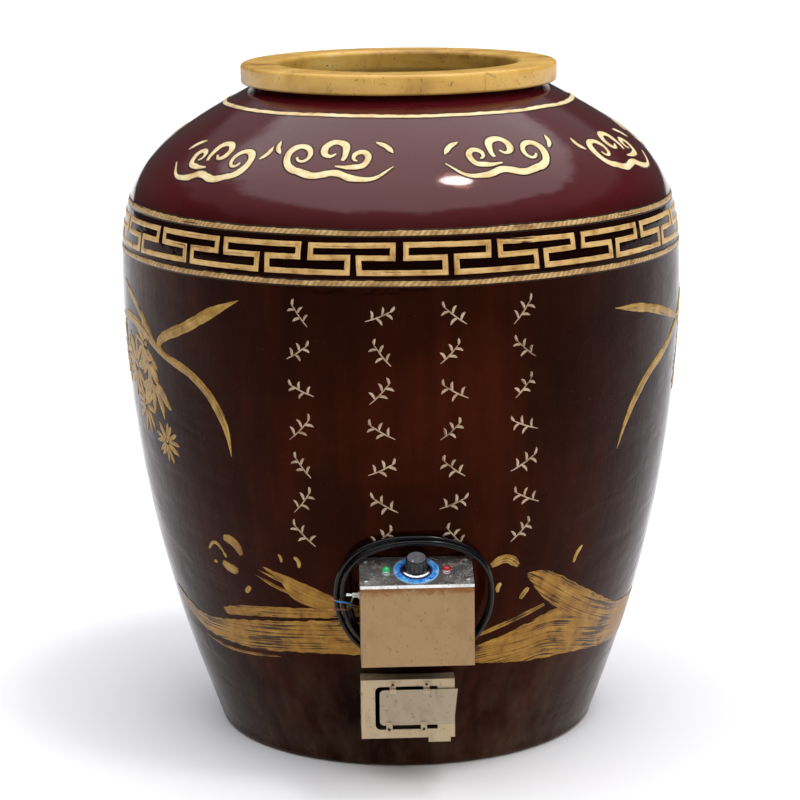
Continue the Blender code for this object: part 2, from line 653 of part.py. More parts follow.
def build_fixings():
    for side, word in ((-1, "left"), (1, "right")):
        x = side * BOLT_SPREAD / 2
        head_back = plate_front - TOUCH
        wall_inside = front_of_wall(BOLT_HEIGHT, x, inner_wall)
        length = wall_inside + BOLT_END - head_back
        bolt = solid("box_bolt_" + word, rod(BOLT_RADIUS, -BOLT_HEAD_HEIGHT / 2, length, 12), "zinc",
                     (x, head_back, BOLT_HEIGHT), ALONG_Y)
        join(bolt, helper(hexagon(BOLT_HEAD_WIDTH, -BOLT_HEAD_HEIGHT, 0), (x, head_back, BOLT_HEIGHT), ALONG_Y))
        # The spacer and the washer under the nut are cut to the wall's curve
        gap = front_of_wall(BOLT_HEIGHT, x) - box_back
        spacer = solid("bolt_spacer_" + word,
                       ring(BOLT_RADIUS + RUNNING, SPACER_RADIUS, TOUCH, gap + SPACER_RADIUS, 16), "zinc",
                       (x, box_back, BOLT_HEIGHT), ALONG_Y, smooth=40)
        cut(spacer, wall_cutter())
        nut = solid("bolt_nut_" + word, rod(WASHER_RADIUS, -WASHER_RADIUS / 2, WASHER_RADIUS * 0.35, 20), "zinc",
                    (x, wall_inside, BOLT_HEIGHT), ALONG_Y)
        join(nut, helper(hexagon(BOLT_HEAD_WIDTH, 0, WASHER_RADIUS * 0.35 + NUT_HEIGHT),
                         (x, wall_inside, BOLT_HEIGHT), ALONG_Y))
        cut(nut, wall_cutter(), helper(rod(BOLT_RADIUS + TOUCH, -2 * WALL, 2 * WALL, 12),
                                       (x, wall_inside, BOLT_HEIGHT), ALONG_Y))
    sleeve_end = front_of_wall(LEAD_HEIGHT, LEAD_X, inner_wall) + 2 * LEAD_SLEEVE_WALL
    solid("lead_sleeve", ring(LEAD_SLEEVE_RADIUS - LEAD_SLEEVE_WALL, LEAD_SLEEVE_RADIUS, box_back + TOUCH,
                              sleeve_end), "zinc", (LEAD_X, 0, LEAD_HEIGHT), ALONG_Y, smooth=40)


# Controls on the panel. Their frame lies in the panel's top face, with Z square to it

panel_axis = axis_at("panel_axis", panel_middle, (PANEL_TILT, 0, 0))
screw_places = [(side * (BOX_WIDTH / 2 - SCREW_INSET), fore * (panel_length / 2 - SCREW_INSET))
                for fore in (-1, 1) for side in (-1, 1)]


def build_thermostat():
    bore = SHAFT_RADIUS + RUNNING
    low = -SHEET - TOUCH
    body = solid("thermostat_body", bar((-THERMOSTAT_WIDTH / 2, -THERMOSTAT_LENGTH / 2, low - THERMOSTAT_DEPTH),
                                        (THERMOSTAT_WIDTH / 2, THERMOSTAT_LENGTH / 2, low)),
                 "zinc", parent=panel_axis)
    join(body, helper(rod(BUSHING_RADIUS, low - SHEET, 0, 16), parent=panel_axis))
    cut(body, helper(rod(bore, -SHAFT_BELOW - RUNNING, SHEET, 16), parent=panel_axis))
    solid("dial_ring", ring(BUSHING_RADIUS + RUNNING, DIAL_RADIUS, TOUCH, TOUCH + DIAL_THICKNESS, 40),
          "blue_plate", parent=panel_axis, smooth=40)

    skirt_low = TOUCH + DIAL_THICKNESS + RUNNING
    knob_low = skirt_low + SKIRT_HEIGHT + TOUCH
    knob_top = knob_low + KNOB_HEIGHT
    shaft_top = knob_low + KNOB_HEIGHT * 0.8
    solid("thermostat_shaft", rod(SHAFT_RADIUS, -SHAFT_BELOW, shaft_top, 12), "zinc", parent=panel_axis,
          smooth=50)
    fit = SHAFT_RADIUS + TOUCH
    solid("knob_skirt", turned([(fit, skirt_low), (SKIRT_RADIUS, skirt_low),
                                (SKIRT_RADIUS, skirt_low + SKIRT_HEIGHT * 0.4),
                                (SKIRT_RADIUS - SKIRT_HEIGHT, skirt_low + SKIRT_HEIGHT),
                                (fit, skirt_low + SKIRT_HEIGHT)], 32, closed=True),
          "chrome", parent=panel_axis, smooth=40)
    knob = solid("thermostat_knob", fluted(KNOB_BASE_RADIUS, KNOB_TOP_RADIUS, knob_low, knob_top),
                 "black_plastic", parent=panel_axis, smooth=50)
    cut(knob, helper(rod(fit, knob_low - RUNNING, shaft_top + TOUCH, 12), parent=panel_axis))
    cap_low = knob_top + TOUCH
    solid("knob_cap", turned([(0, cap_low), (CAP_RADIUS, cap_low), (CAP_RADIUS, cap_low + CAP_HEIGHT * 0.5),
                              (CAP_RADIUS - CAP_HEIGHT * 0.5, cap_low + CAP_HEIGHT), (0, cap_low + CAP_HEIGHT)], 24),
          "grey_plastic", parent=panel_axis, smooth=40)


def fluted(base, top, low, high):
    """A tapered grip with shallow flutes."""
    shape = bmesh.new()
    edge_fall = (high - low) * 0.08
    levels = [(base, low), (top + (base - top) * 0.08, high - edge_fall), (top - edge_fall, high)]
    rings = []
    for radius, height in levels:
        points = []
        for i in range(4 * KNOB_FLUTES):
            turn = math.tau * i / (4 * KNOB_FLUTES)
            here = radius - KNOB_FLUTE_DEPTH * (1 if i % 4 == 0 else 0)
            points.append(shape.verts.new((here * math.cos(turn), here * math.sin(turn), height)))
        rings.append(points)
    for lower, upper in zip(rings, rings[1:]):
        for i in range(len(lower)):
            j = (i + 1) % len(lower)
            shape.faces.new((lower[i], lower[j], upper[j], upper[i]))
    shape.faces.new(rings[0][::-1])
    shape.faces.new(rings[-1])
    return shape


def build_lamps():
    for side, word in ((-1, "green"), (1, "red")):
        at = (side * LAMP_SPREAD / 2, 0, 0)
        dome = arc((0, TOUCH + LENS_FLANGE), 1, 0, 90, 4)
        wide, high = LENS_RADIUS - 0.0008, LENS_HEIGHT - LENS_FLANGE
        outline = ([(0, TOUCH), (LENS_RADIUS, TOUCH), (LENS_RADIUS, TOUCH + LENS_FLANGE)]
                   + [(x * wide, TOUCH + LENS_FLANGE + (z - TOUCH - LENS_FLANGE) * high) for x, z in dome[:-1]]
                   + [(0, TOUCH + LENS_HEIGHT)])
        solid(word + "_lamp_lens", turned(outline, 20), word + "_lens", at, parent=panel_axis, smooth=40)
        solid(word + "_lamp_body", rod(LAMP_BODY_RADIUS, -LAMP_BODY_LENGTH, 0, 12), "ceramic", at,
              parent=panel_axis, smooth=40)


# Toggle switch. Its frame lies in the outer face of the left side, with Z pointing out of the box

toggle_axis = axis_at("toggle_axis", (-BOX_WIDTH / 2, box_front + TOGGLE_FROM_FRONT,
                                      edge_front - TOGGLE_BELOW_EDGE), (0, math.radians(-90), 0))


def build_toggle():
    depth, wide, tall = TOGGLE_BODY_SIZE
    low = -SHEET - TOUCH
    body = solid("toggle_body", bar((-tall / 2, -wide / 2, low - depth), (tall / 2, wide / 2, low)),
                 "grey_plastic", parent=toggle_axis)
    join(body, helper(rod(TOGGLE_BUSHING_RADIUS, low - SHEET, TOGGLE_BUSHING_LENGTH, 16), parent=toggle_axis))
    cut(body, helper(rod(TOGGLE_BORE_RADIUS, TOGGLE_BUSHING_LENGTH - TOGGLE_BORE_DEPTH,
                         TOGGLE_BUSHING_LENGTH + SHEET, 16), parent=toggle_axis))
    nut = solid("toggle_nut", hexagon(TOGGLE_NUT_WIDTH, TOUCH, TOUCH + TOGGLE_NUT_HEIGHT), "chrome",
                parent=toggle_axis)
    cut(nut, helper(rod(TOGGLE_BUSHING_RADIUS + TOUCH, -SHEET, TOGGLE_NUT_HEIGHT + SHEET, 16), parent=toggle_axis))
    ball = arc((0, 0), LEVER_BALL_RADIUS, -90, 55, 4)
    outline = ([(0, -LEVER_BALL_RADIUS)] + ball[1:] + [(LEVER_NECK_RADIUS, LEVER_BALL_RADIUS + 0.0005),
               (LEVER_TIP_RADIUS, LEVER_LENGTH - LEVER_TIP_RADIUS)]
               + arc((0, LEVER_LENGTH - LEVER_TIP_RADIUS), LEVER_TIP_RADIUS, 30, 60, 1)
               + [(0, LEVER_LENGTH)])
    pivot = (0, 0, TOGGLE_BUSHING_LENGTH - LEVER_PIVOT_DEPTH)
    # At rest the lever leans to the back by half its throw
    solid("toggle_lever", turned(outline, 14), "chrome", pivot, (-LEVER_THROW / 2, 0, 0), toggle_axis, 40)


# Heater: a ring on the rack's base, whose two legs rise and leave through the sleeve

leg_places = [LEAD_X - ELEMENT_LEG_SPREAD / 2, LEAD_X + ELEMENT_LEG_SPREAD / 2]
riser_top = front_of_wall(LEAD_HEIGHT, LEAD_X, inner_wall) + ELEMENT_BEND + ELEMENT_RADIUS
riser_foot = front_of_wall(ELEMENT_HEIGHT, LEAD_X, inner_wall) + ELEMENT_RISER_IN
leg_end = plate_front - 4 * SHEET
plug_front = front_of_wall(LEAD_HEIGHT, LEAD_X, inner_wall) - PLUG_LENGTH


def leg(x, ring_y):
    """One leg of the heater, from inside the box down to the level of the ring."""
    return [(x, leg_end, LEAD_HEIGHT), (x, riser_top, LEAD_HEIGHT), (x, riser_foot, ELEMENT_HEIGHT),
            (x, ring_y, ELEMENT_HEIGHT)]


def build_element():
    # The left leg turns left onto the ring and the right leg turns right
    left_turn = math.asin((leg_places[0] - ELEMENT_BEND) / ELEMENT_RING_RADIUS)
    right_turn = math.asin((leg_places[1] + ELEMENT_BEND * 0.6) / ELEMENT_RING_RADIUS)
    left_y = -ELEMENT_RING_RADIUS * math.cos(left_turn) - ELEMENT_BEND
    right_y = -ELEMENT_RING_RADIUS * math.cos(right_turn) - ELEMENT_BEND * 0.8
    down = rounded_route(leg(leg_places[0], left_y), ELEMENT_BEND)
    up = rounded_route(leg(leg_places[1], right_y), ELEMENT_BEND)[::-1]
    # Angles run clockwise from the front, seen from above
    start, end = -left_turn, math.tau - right_turn
    loop = [(-ELEMENT_RING_RADIUS * math.sin(a), -ELEMENT_RING_RADIUS * math.cos(a), ELEMENT_HEIGHT)
            for a in (start + (end - start) * i / RING_STEPS for i in range(RING_STEPS + 1))]
    into = quarter(down[-1], loop[0], Vector((0, 1, 0)))
    out = quarter(up[0], loop[-1], Vector((0, 1, 0)))[::-1]
    route = list(down) + into + [Vector(p) for p in loop] + out + list(up)
    tube("element_tube", route, ELEMENT_RADIUS, "heater_steel", 2)
    sleeve_bore = LEAD_SLEEVE_RADIUS - LEAD_SLEEVE_WALL
    plug = solid("element_bushing", rod(sleeve_bore - TOUCH, 0, PLUG_LENGTH, 24), "ceramic",
                 (LEAD_X, plug_front, LEAD_HEIGHT), ALONG_Y)
    for x in leg_places:
        cut(plug, helper(rod(ELEMENT_RADIUS + TOUCH, -SHEET, PLUG_LENGTH + SHEET, 16),
                         (x, plug_front, LEAD_HEIGHT), ALONG_Y))
    cut(plug, helper(rod(CAPILLARY_RADIUS + TOUCH, -SHEET, PLUG_LENGTH + SHEET, 8),
                     (LEAD_X, plug_front, LEAD_HEIGHT + CAPILLARY_RISE), ALONG_Y))


def quarter(start, end, heading):
    """Two points that lead smoothly from a straight run onto the ring."""
    start, end = Vector(start), Vector(end)
    inward = Vector((end.y, -end.x, 0)).normalized()
    if inward.dot(end - start) < 0:
        inward = -inward
    reach = (end - start).length * 0.4
    curve = interpolate_bezier(start, start + heading * reach, end - inward * reach, end, 5)
    return [Vector(p) for p in curve[1:-1]]


def build_sensor():
    foot, head = Vector((0, riser_foot, ELEMENT_HEIGHT)), Vector((0, riser_top, LEAD_HEIGHT))
    lean = (head - foot).normalized()
    clip_at = foot.lerp(head, 0.45) + Vector((leg_places[1], 0, 0))
    bulb_middle = clip_at + Vector((BULB_SPREAD, 0, 0))
    bulb_top, bulb_low = bulb_middle + lean * BULB_LENGTH / 2, bulb_middle - lean * BULB_LENGTH / 2
    wire_height = LEAD_HEIGHT + CAPILLARY_RISE
    wire = smooth_route([(LEAD_X, plate_front - 10 * SHEET, wire_height), (LEAD_X, plug_front, wire_height),
                         (LEAD_X, plug_front + PLUG_LENGTH, wire_height),
                         (LEAD_X + 0.002, plug_front + PLUG_LENGTH + 0.012, wire_height),
                         (bulb_top.x - 0.004, riser_top - 0.004, LEAD_HEIGHT - 0.004),
                         bulb_top + lean * 0.014, bulb_top + lean * 0.002], 0.009)
    swell = [CAPILLARY_RADIUS] * len(wire) + [BULB_RADIUS, BULB_RADIUS]
    tube("sensor_bulb", wire + [bulb_top, bulb_low], BULB_RADIUS, "copper", 1, swell)

    # The clip is square to the riser and holds the bulb beside it
    turn = (math.atan2(-lean.y, lean.z), 0, 0)
    outline = (arc((0, 0), ELEMENT_RADIUS + CLIP_WALL, 90, 270, 6)
               + arc((BULB_SPREAD, 0), BULB_RADIUS + CLIP_WALL, 270, 450, 5))
    clip = solid("sensor_clip", prism(outline, CLIP_HEIGHT, Matrix.Translation((0, 0, -CLIP_HEIGHT / 2))),
                 "heater_steel", clip_at, turn)
    for x, radius in ((0, ELEMENT_RADIUS), (BULB_SPREAD, BULB_RADIUS)):
        along = Matrix.Rotation(turn[0], 4, "X")
        cut(clip, helper(rod(radius + TOUCH, -CLIP_HEIGHT, CLIP_HEIGHT, 16),
                         clip_at + along @ Vector((x, 0, 0)), turn))


def build_terminals():
    wide, deep, tall = TERMINAL_SIZE
    step = wide / 7
    outline = [(0, 0), (wide, 0), (wide, -deep)]
    for i in range(3):
        x = wide - step * (1 + 2 * i)
        outline += [(x, -deep), (x, -deep * 0.6), (x - step, -deep * 0.6), (x - step, -deep)]
    outline += [(0, -deep)]
    solid("terminal_block", prism(outline, tall), "ceramic",
          (-BOX_WIDTH / 2 + TERMINAL_FROM_SIDE, plate_front - TOUCH, BOX_BOTTOM + TERMINAL_RISE))


# Cord: it leaves by an angled gland under the box and is wound round it, leaning on the crock

gland_y = plate_front - GLAND_FROM_BACK
boot_height = BOX_BOTTOM - TOUCH - GLAND_FLANGE - GLAND_RADIUS + 0.001
boot_heading = Vector((-math.cos(GLAND_TURN), math.sin(GLAND_TURN), 0))
boot_end = Vector((GLAND_X, gland_y, boot_height)) + boot_heading * GLAND_BOOT_LENGTH
coil_top = COIL_MIDDLE_HEIGHT + COIL_RISE
coil_bottom = COIL_MIDDLE_HEIGHT - COIL_DROP


def coil_depth(height):
    """Y of the back layer, which leans on the wall at the top and the bottom of the coil."""
    off = CORD_DIAMETER / 2 + COIL_WALL_GAP
    top, bottom = front_of_wall(coil_top) - off, front_of_wall(coil_bottom) - off
    return bottom + (top - bottom) * (height - coil_bottom) / (coil_top - coil_bottom)


def coil_point(turn):
    """A point of the coil, by its angle in degrees from the bottom, clockwise from the front.

    The spiral widens in the front layer, climbs back in the half turn round its reverse, and
    narrows again in the back layer.
    """
    inset = CORD_STEP * abs(turn - COIL_REVERSE) / 360
    angle = math.radians(turn)
    side, up = -math.sin(angle), -math.cos(angle)
    power = 2 / COIL_SQUARENESS if up > 0 else 1
    x = math.copysign(abs(side) ** power, side) * (COIL_HALF_WIDTH - inset)
    rise = (COIL_RISE if up > 0 else COIL_DROP) - inset
    z = COIL_MIDDLE_HEIGHT + math.copysign(abs(up) ** power, up) * rise
    climbed = min(max((turn - COIL_REVERSE + 90) / 180, 0), 1)
    forward = CORD_STEP * (1 + math.cos(math.pi * climbed)) / 2
    # It comes in from the front, over the next turn
    forward += COIL_ENTRY * max((COIL_START + COIL_ENTRY_TURN - turn) / COIL_ENTRY_TURN, 0) ** 2
    return Vector((x, coil_depth(z) - forward, z))


def self_gap(points):
    """The least gap of the coil to itself, measured between stretches over a third of a turn apart."""
    far = COIL_POINTS // 3
    least = 1.0
    for i, p in enumerate(points[:-far - 1]):
        for a, b in zip(points[i + far:], points[i + far + 1:]):
            along = b - a
            share = min(max((p - a).dot(along) / along.length_squared, 0), 1)
            least = min(least, (a + along * share - p).length)
    return least - CORD_DIAMETER


def build_cord():
    boot = rod(GLAND_RADIUS, 0, GLAND_BOOT_LENGTH, 16, GLAND_TIP_RADIUS)
    gland = solid("cable_gland", boot, "rubber", (GLAND_X, gland_y, boot_height),
                  boot_heading.to_track_quat("Z", "Y").to_euler(), smooth=40)
    join(gland, helper(rod(GLAND_RADIUS - TOUCH, boot_height, BOX_BOTTOM + GLAND_THREAD_LENGTH, 16),
                       (GLAND_X, gland_y, 0)))
    join(gland, helper(rod(GLAND_FLANGE_RADIUS, BOX_BOTTOM - TOUCH - GLAND_FLANGE, BOX_BOTTOM - TOUCH, 20),
                       (GLAND_X, gland_y, 0)))

    count = round((COIL_END - COIL_START) / 360 * COIL_POINTS)
    coil = [coil_point(COIL_START + (COIL_END - COIL_START) * i / count) for i in range(count + 1)]
    # The ends run straight for one diameter, square to what they meet
    first = (coil[0] - coil_point(COIL_START + 1)).normalized()
    last = (coil[-1] - coil_point(COIL_END - 1)).normalized()
    coil = [coil[0] + first * CORD_DIAMETER] + coil + [coil[-1] + last * CORD_DIAMETER]
    print("least gap of the coil to itself: %.2f mm" % (self_gap(coil) * 1000))
    tube("power_cord_coil", coil, CORD_DIAMETER / 2, "rubber", 1)

    start = boot_end + boot_heading * TOUCH
    joint = coil[0] + first * TOUCH
    lead = smooth_route([start, start + boot_heading * CORD_DIAMETER * 1.5]
                        + [boot_end + Vector(step) for step in LEAD_STEPS]
                        + [joint + first * CORD_DIAMETER * 0.7, joint], CORD_DIAMETER)
    tube("power_cord_lead", lead, CORD_DIAMETER / 2, "rubber", 2)

    start = coil[-1] + last * TOUCH
    tail = smooth_route([start, start + last * CORD_DIAMETER] + [coil[-1] + Vector(step) for step in TAIL_STEPS],
                        CORD_DIAMETER)
    tube("power_cord_tail", tail, CORD_DIAMETER / 2, "rubber", 2)

    # Three cores fan out of the end of the sheath, in front of the turns
    end = tail[-1]
    up = (tail[-1] - tail[-2]).normalized()
    for name, seat in CORE_SEATS.items():
        start = end + up * (CORD_DIAMETER * 0.1) + Vector((*seat, 0))
        route = [start, start + up * CORE_DIAMETER] + [end + Vector(step) for step in CORE_STEPS[name]]
        tube(name, smooth_route(route, CORE_DIAMETER * 2.5), CORE_DIAMETER / 2, name.replace("core", "sleeve"), 1)


# Rack: a cross on the floor carries the pin and the heater, and the tiers turn on the pin

def build_base():
    arm_end = ELEMENT_RING_RADIUS + SADDLE_LENGTH / 2
    base = solid("rack_base", turned([(0, FLOOR + TOUCH), (BASE_RADIUS, FLOOR + TOUCH),
                                      (BASE_RADIUS, FLOOR + BASE_SHEET), (BASE_BOSS_RADIUS, FLOOR + BASE_SHEET),
                                      (BASE_BOSS_RADIUS, BASE_BOSS_TOP), (PIN_RADIUS, BASE_BOSS_TOP),
                                      (PIN_RADIUS, PIN_TOP), (0, PIN_TOP)], 24), "iron", smooth=40)
    wide = BASE_ARM_WIDTH / 2
    for turn in (45, 135):
        around = (0, 0, math.radians(turn))
        join(base, helper(bar((-arm_end, -wide, FLOOR + TOUCH), (arm_end, wide, FLOOR + BASE_SHEET * 0.8)),
                          turn=around))
    for turn in (45, 135, 225, 315):
        around = (0, 0, math.radians(turn))
        post = helper(bar((arm_end - SADDLE_LENGTH, -wide * 0.7, FLOOR + 2 * TOUCH),
                          (arm_end - 2 * TOUCH, wide * 0.7, ELEMENT_HEIGHT)), turn=around)
        cut(post, helper(rod(ELEMENT_RADIUS + SADDLE_CLEARANCE, -BASE_ARM_WIDTH, BASE_ARM_WIDTH, 16),
                         Matrix.Rotation(around[2], 3, "Z") @ Vector((ELEMENT_RING_RADIUS, 0, ELEMENT_HEIGHT)),
                         (math.radians(-90), 0, around[2])))
        join(base, post)


def build_rack():
    low = BASE_BOSS_TOP + TOUCH
    solid("thrust_washer", ring(PIN_RADIUS + RUNNING, BASE_BOSS_RADIUS + 0.002, low, low + WASHER_THICKNESS, 24),
          "brass", smooth=40)
    foot = low + WASHER_THICKNESS + TOUCH
    solid("rack_post", ring(POST_BORE, POST_RADIUS, foot, POST_TOP, 24), "iron", parent=rack_axis, smooth=40)
    cap = POST_TOP + TOUCH
    dome = [(r * POST_RADIUS, cap + 0.004 + z * POST_RADIUS * 0.5) for r, z in arc((0, 0), 1, 0, 90, 4)[:-1]]
    solid("post_cap", turned([(0, POST_TOP - 0.02), (POST_BORE - 0.0006, POST_TOP - 0.02),
                              (POST_BORE - 0.0006, cap), (POST_RADIUS + 0.002, cap),
                              (POST_RADIUS + 0.002, cap + 0.003)] + dome
                             + [(0, cap + 0.004 + POST_RADIUS * 0.5)], 24), "iron", parent=rack_axis, smooth=40)
    for number, (height, radius) in enumerate(zip(TIER_HEIGHTS, TIER_RADII), 1):
        build_tier(number, height, radius)


def build_tier(number, height, radius):
    """A spider on the post carries two half shelves, which pass through the mouth one by one."""
    top = height - SHELF_SHEET - TOUCH
    low = top - SPIDER_HUB_HEIGHT
    reach = radius - SHELF_SHEET - SPIDER_CLEARANCE
    spider = solid("tier_spider_%d" % number, rod(SPIDER_HUB_RADIUS, low, top - 0.0001, 24), "iron",
                   parent=rack_axis, smooth=40)
    wide = SPIDER_ARM_WIDTH / 2
    join(spider, helper(bar((-reach, -wide, top - SPIDER_ARM_SHEET), (reach, wide, top)), parent=rack_axis))
    join(spider, helper(bar((-wide, -reach, top - SPIDER_ARM_SHEET), (wide, reach, top)), parent=rack_axis))
    cut(spider, helper(rod(POST_RADIUS + TOUCH, low - SHEET, top + SHEET, 24), parent=rack_axis))
    for side, word in ((1, "back"), (-1, "front")):
        build_shelf("shelf_%d_%s" % (number, word), side, height, radius)


def build_shelf(name, side, height, radius):
    """A half disc with radial slots and a rim turned down round its edge."""
    split = SHELF_SPLIT / 2
    around = POST_RADIUS + 4 * TOUCH

    def half_disc(edge):
        lean, tight = math.degrees(math.asin(split / edge)), math.degrees(math.asin(split / around))
        return arc((0, 0), edge, lean, 180 - lean, 18) + arc((0, 0), around, 180 - tight, tight, 6)

    turn = (0, 0, 0 if side > 0 else math.pi)
    shelf = solid(name, prism(half_disc(radius), SHELF_SHEET + SHELF_FLANGE,
                              Matrix.Translation((0, 0, height - SHELF_SHEET - SHELF_FLANGE))),
                  "iron", turn=turn, parent=rack_axis)
    under = prism([(-BELLY_RADIUS, -BELLY_RADIUS), (BELLY_RADIUS, -BELLY_RADIUS), (BELLY_RADIUS, split / 2)]
                  + arc((0, 0), radius - SHELF_SHEET, 0.2, 179.8, 18) + [(-BELLY_RADIUS, split / 2)],
                  2 * SHELF_FLANGE, Matrix.Translation((0, 0, height - SHELF_SHEET - 2 * SHELF_FLANGE)))
    cut(shelf, helper(under, turn=turn, parent=rack_axis))
    slots = bmesh.new()
    for i in range(SHELF_SLOTS):
        slot = bar((SLOT_INNER, -SLOT_WIDTH / 2, height - 2 * SHELF_SHEET),
                   (radius - SLOT_MARGIN, SLOT_WIDTH / 2, height + SHELF_SHEET))
        angle = math.pi * (i + 0.5) / SHELF_SLOTS
        bmesh.ops.rotate(slot, cent=(0, 0, 0), matrix=Matrix.Rotation(angle, 3, "Z"), verts=slot.verts)
        piece = bpy.data.meshes.new("slot")
        slot.to_mesh(piece)
        slot.free()
        slots.from_mesh(piece)
    cut(shelf, helper(slots, turn=turn, parent=rack_axis))


rack_axis = axis_at("rack_axis", (0, 0, 0))

build_crock()
build_port_frame()
build_damper()
build_box()
build_panel()
build_fixings()
build_thermostat()
build_lamps()
build_toggle()
build_element()
build_sensor()
build_terminals()
build_cord()
build_base()
build_rack()
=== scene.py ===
import json
import math
import random

import bmesh
import bpy
from mathutils import Matrix, Vector, noise
from mathutils.geometry import interpolate_bezier

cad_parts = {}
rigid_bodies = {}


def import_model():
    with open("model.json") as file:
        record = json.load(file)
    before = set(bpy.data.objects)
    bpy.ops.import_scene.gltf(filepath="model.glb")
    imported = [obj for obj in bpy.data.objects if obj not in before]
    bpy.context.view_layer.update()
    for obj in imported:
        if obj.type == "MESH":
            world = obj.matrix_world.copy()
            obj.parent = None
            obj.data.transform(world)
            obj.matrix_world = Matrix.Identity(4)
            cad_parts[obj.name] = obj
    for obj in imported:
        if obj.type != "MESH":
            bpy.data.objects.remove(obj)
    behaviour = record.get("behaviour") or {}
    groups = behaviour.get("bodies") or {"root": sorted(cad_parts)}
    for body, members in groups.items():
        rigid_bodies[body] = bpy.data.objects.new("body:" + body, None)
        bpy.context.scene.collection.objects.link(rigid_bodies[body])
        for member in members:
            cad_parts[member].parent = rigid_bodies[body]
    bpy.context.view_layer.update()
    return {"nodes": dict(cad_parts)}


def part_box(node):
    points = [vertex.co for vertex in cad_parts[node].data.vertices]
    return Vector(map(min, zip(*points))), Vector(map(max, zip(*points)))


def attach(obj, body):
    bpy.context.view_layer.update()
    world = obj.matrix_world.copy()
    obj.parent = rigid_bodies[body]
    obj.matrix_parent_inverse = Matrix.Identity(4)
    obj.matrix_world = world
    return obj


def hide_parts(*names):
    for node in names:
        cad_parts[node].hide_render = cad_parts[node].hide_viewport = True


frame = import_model()
print("frame loaded")


def linked(name, data):
    thing = bpy.data.objects.new(name, data)
    bpy.context.scene.collection.objects.link(thing)
    return thing


# Camera: a little to the left of the control box, as high as a person holds one

view = {
    "distance": 3.78,
    "height": 1.29,
    "turn": math.radians(2.2),
    "pitch": math.radians(12.33),
    "roll": math.radians(-0.7),
    "pan": math.radians(0.06),
    "lens": 119.5,
}

lens = bpy.data.cameras.new("camera")
lens.sensor_width = 36
lens.lens = view["lens"]
lens.clip_end = 100
camera = linked("camera", lens)
camera.location = (-view["distance"] * math.sin(view["turn"]), -view["distance"] * math.cos(view["turn"]),
                   view["height"])
camera.rotation_euler = (Matrix.Rotation(-view["turn"] + view["pan"], 3, "Z")
                         @ Matrix.Rotation(math.pi / 2 - view["pitch"], 3, "X")
                         @ Matrix.Rotation(view["roll"], 3, "Z")).to_euler()
bpy.context.scene.camera = camera
bpy.context.scene.view_settings.view_transform = "Standard"


# Making pieces

touch = 0.0003


def meshFrom(name, shape, smoothAngle=None):
    bmesh.ops.recalc_face_normals(shape, faces=shape.faces)
    mesh = bpy.data.meshes.new(name)
    shape.to_mesh(mesh)
    shape.free()
    for face in mesh.polygons:
        face.use_smooth = smoothAngle is not None
    if smoothAngle is not None:
        mesh.set_sharp_from_angle(angle=math.radians(smoothAngle))
    return mesh


# A piece from a finished mesh, or from a shape with the angle up to which it looks smooth
def addPiece(name, shape, smoothAngle, material, slotName, replaced=(), body="root"):
    mesh = shape if isinstance(shape, bpy.types.Mesh) else meshFrom(name, shape, smoothAngle)
    mesh.name = name
    piece = linked(name, mesh)
    piece.data.materials.append(material)
    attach(piece, body)
    if replaced:
        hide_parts(*replaced)
    return piece


def routeLength(points):
    return sum((q - p).length for p, q in zip(points, points[1:]))


def smoothRoute(route, spacing):
    route = [Vector(p) for p in route]
    ends = [route[0] * 2 - route[1]] + route + [route[-1] * 2 - route[-2]]
    fine = []
    for a, b, c, d in zip(ends, ends[1:], ends[2:], ends[3:]):
        for i in range(20):
            t = i / 20
            fine.append(0.5 * (2 * b + (c - a) * t + (2 * a - 5 * b + 4 * c - d) * t ** 2
                               + (3 * b - a - 3 * c + d) * t ** 3))
    fine.append(route[-1])
    length = routeLength(fine)
    count = max(2, round(length / spacing))
    points, walked, target = [fine[0]], 0.0, length / count
    for p, q in zip(fine, fine[1:]):
        step = (q - p).length
        while walked + step >= target and len(points) < count:
            points.append(p.lerp(q, (target - walked) / step))
            target += length / count
        walked += step
    return points + [fine[-1]]


# An outline of (radius, height above a base) points, turned round Z
def turnedShape(outline, sides=48, closed=False, base=0.0):
    shape = bmesh.new()
    points = [shape.verts.new((radius, 0, base + height)) for radius, height in outline]
    following = points[1:] + points[:1] if closed else points[1:]
    lines = [shape.edges.new(pair) for pair in zip(points, following)]
    bmesh.ops.spin(shape, geom=points + lines, cent=(0, 0, 0), axis=(0, 0, 1), angle=math.tau, steps=sides,
                   use_merge=True)
    bmesh.ops.remove_doubles(shape, verts=shape.verts, dist=0.000001)
    return shape


# Faces between rows of points, with each point's place on the map. The first and last row are closed
def weave(shape, mapName, rows, places, ends):
    uv = shape.loops.layers.uv.get(mapName) or shape.loops.layers.uv.new(mapName)
    for low, high, lowPlaces, highPlaces in zip(rows, rows[1:], places, places[1:]):
        for k in range(len(low) - 1):
            face = shape.faces.new((low[k], low[k + 1], high[k + 1], high[k]))
            corners = (lowPlaces[k], lowPlaces[k + 1], highPlaces[k + 1], highPlaces[k])
            for loop, place in zip(face.loops, corners):
                loop[uv].uv = place
    for end in ends:
        shape.faces.new(end)


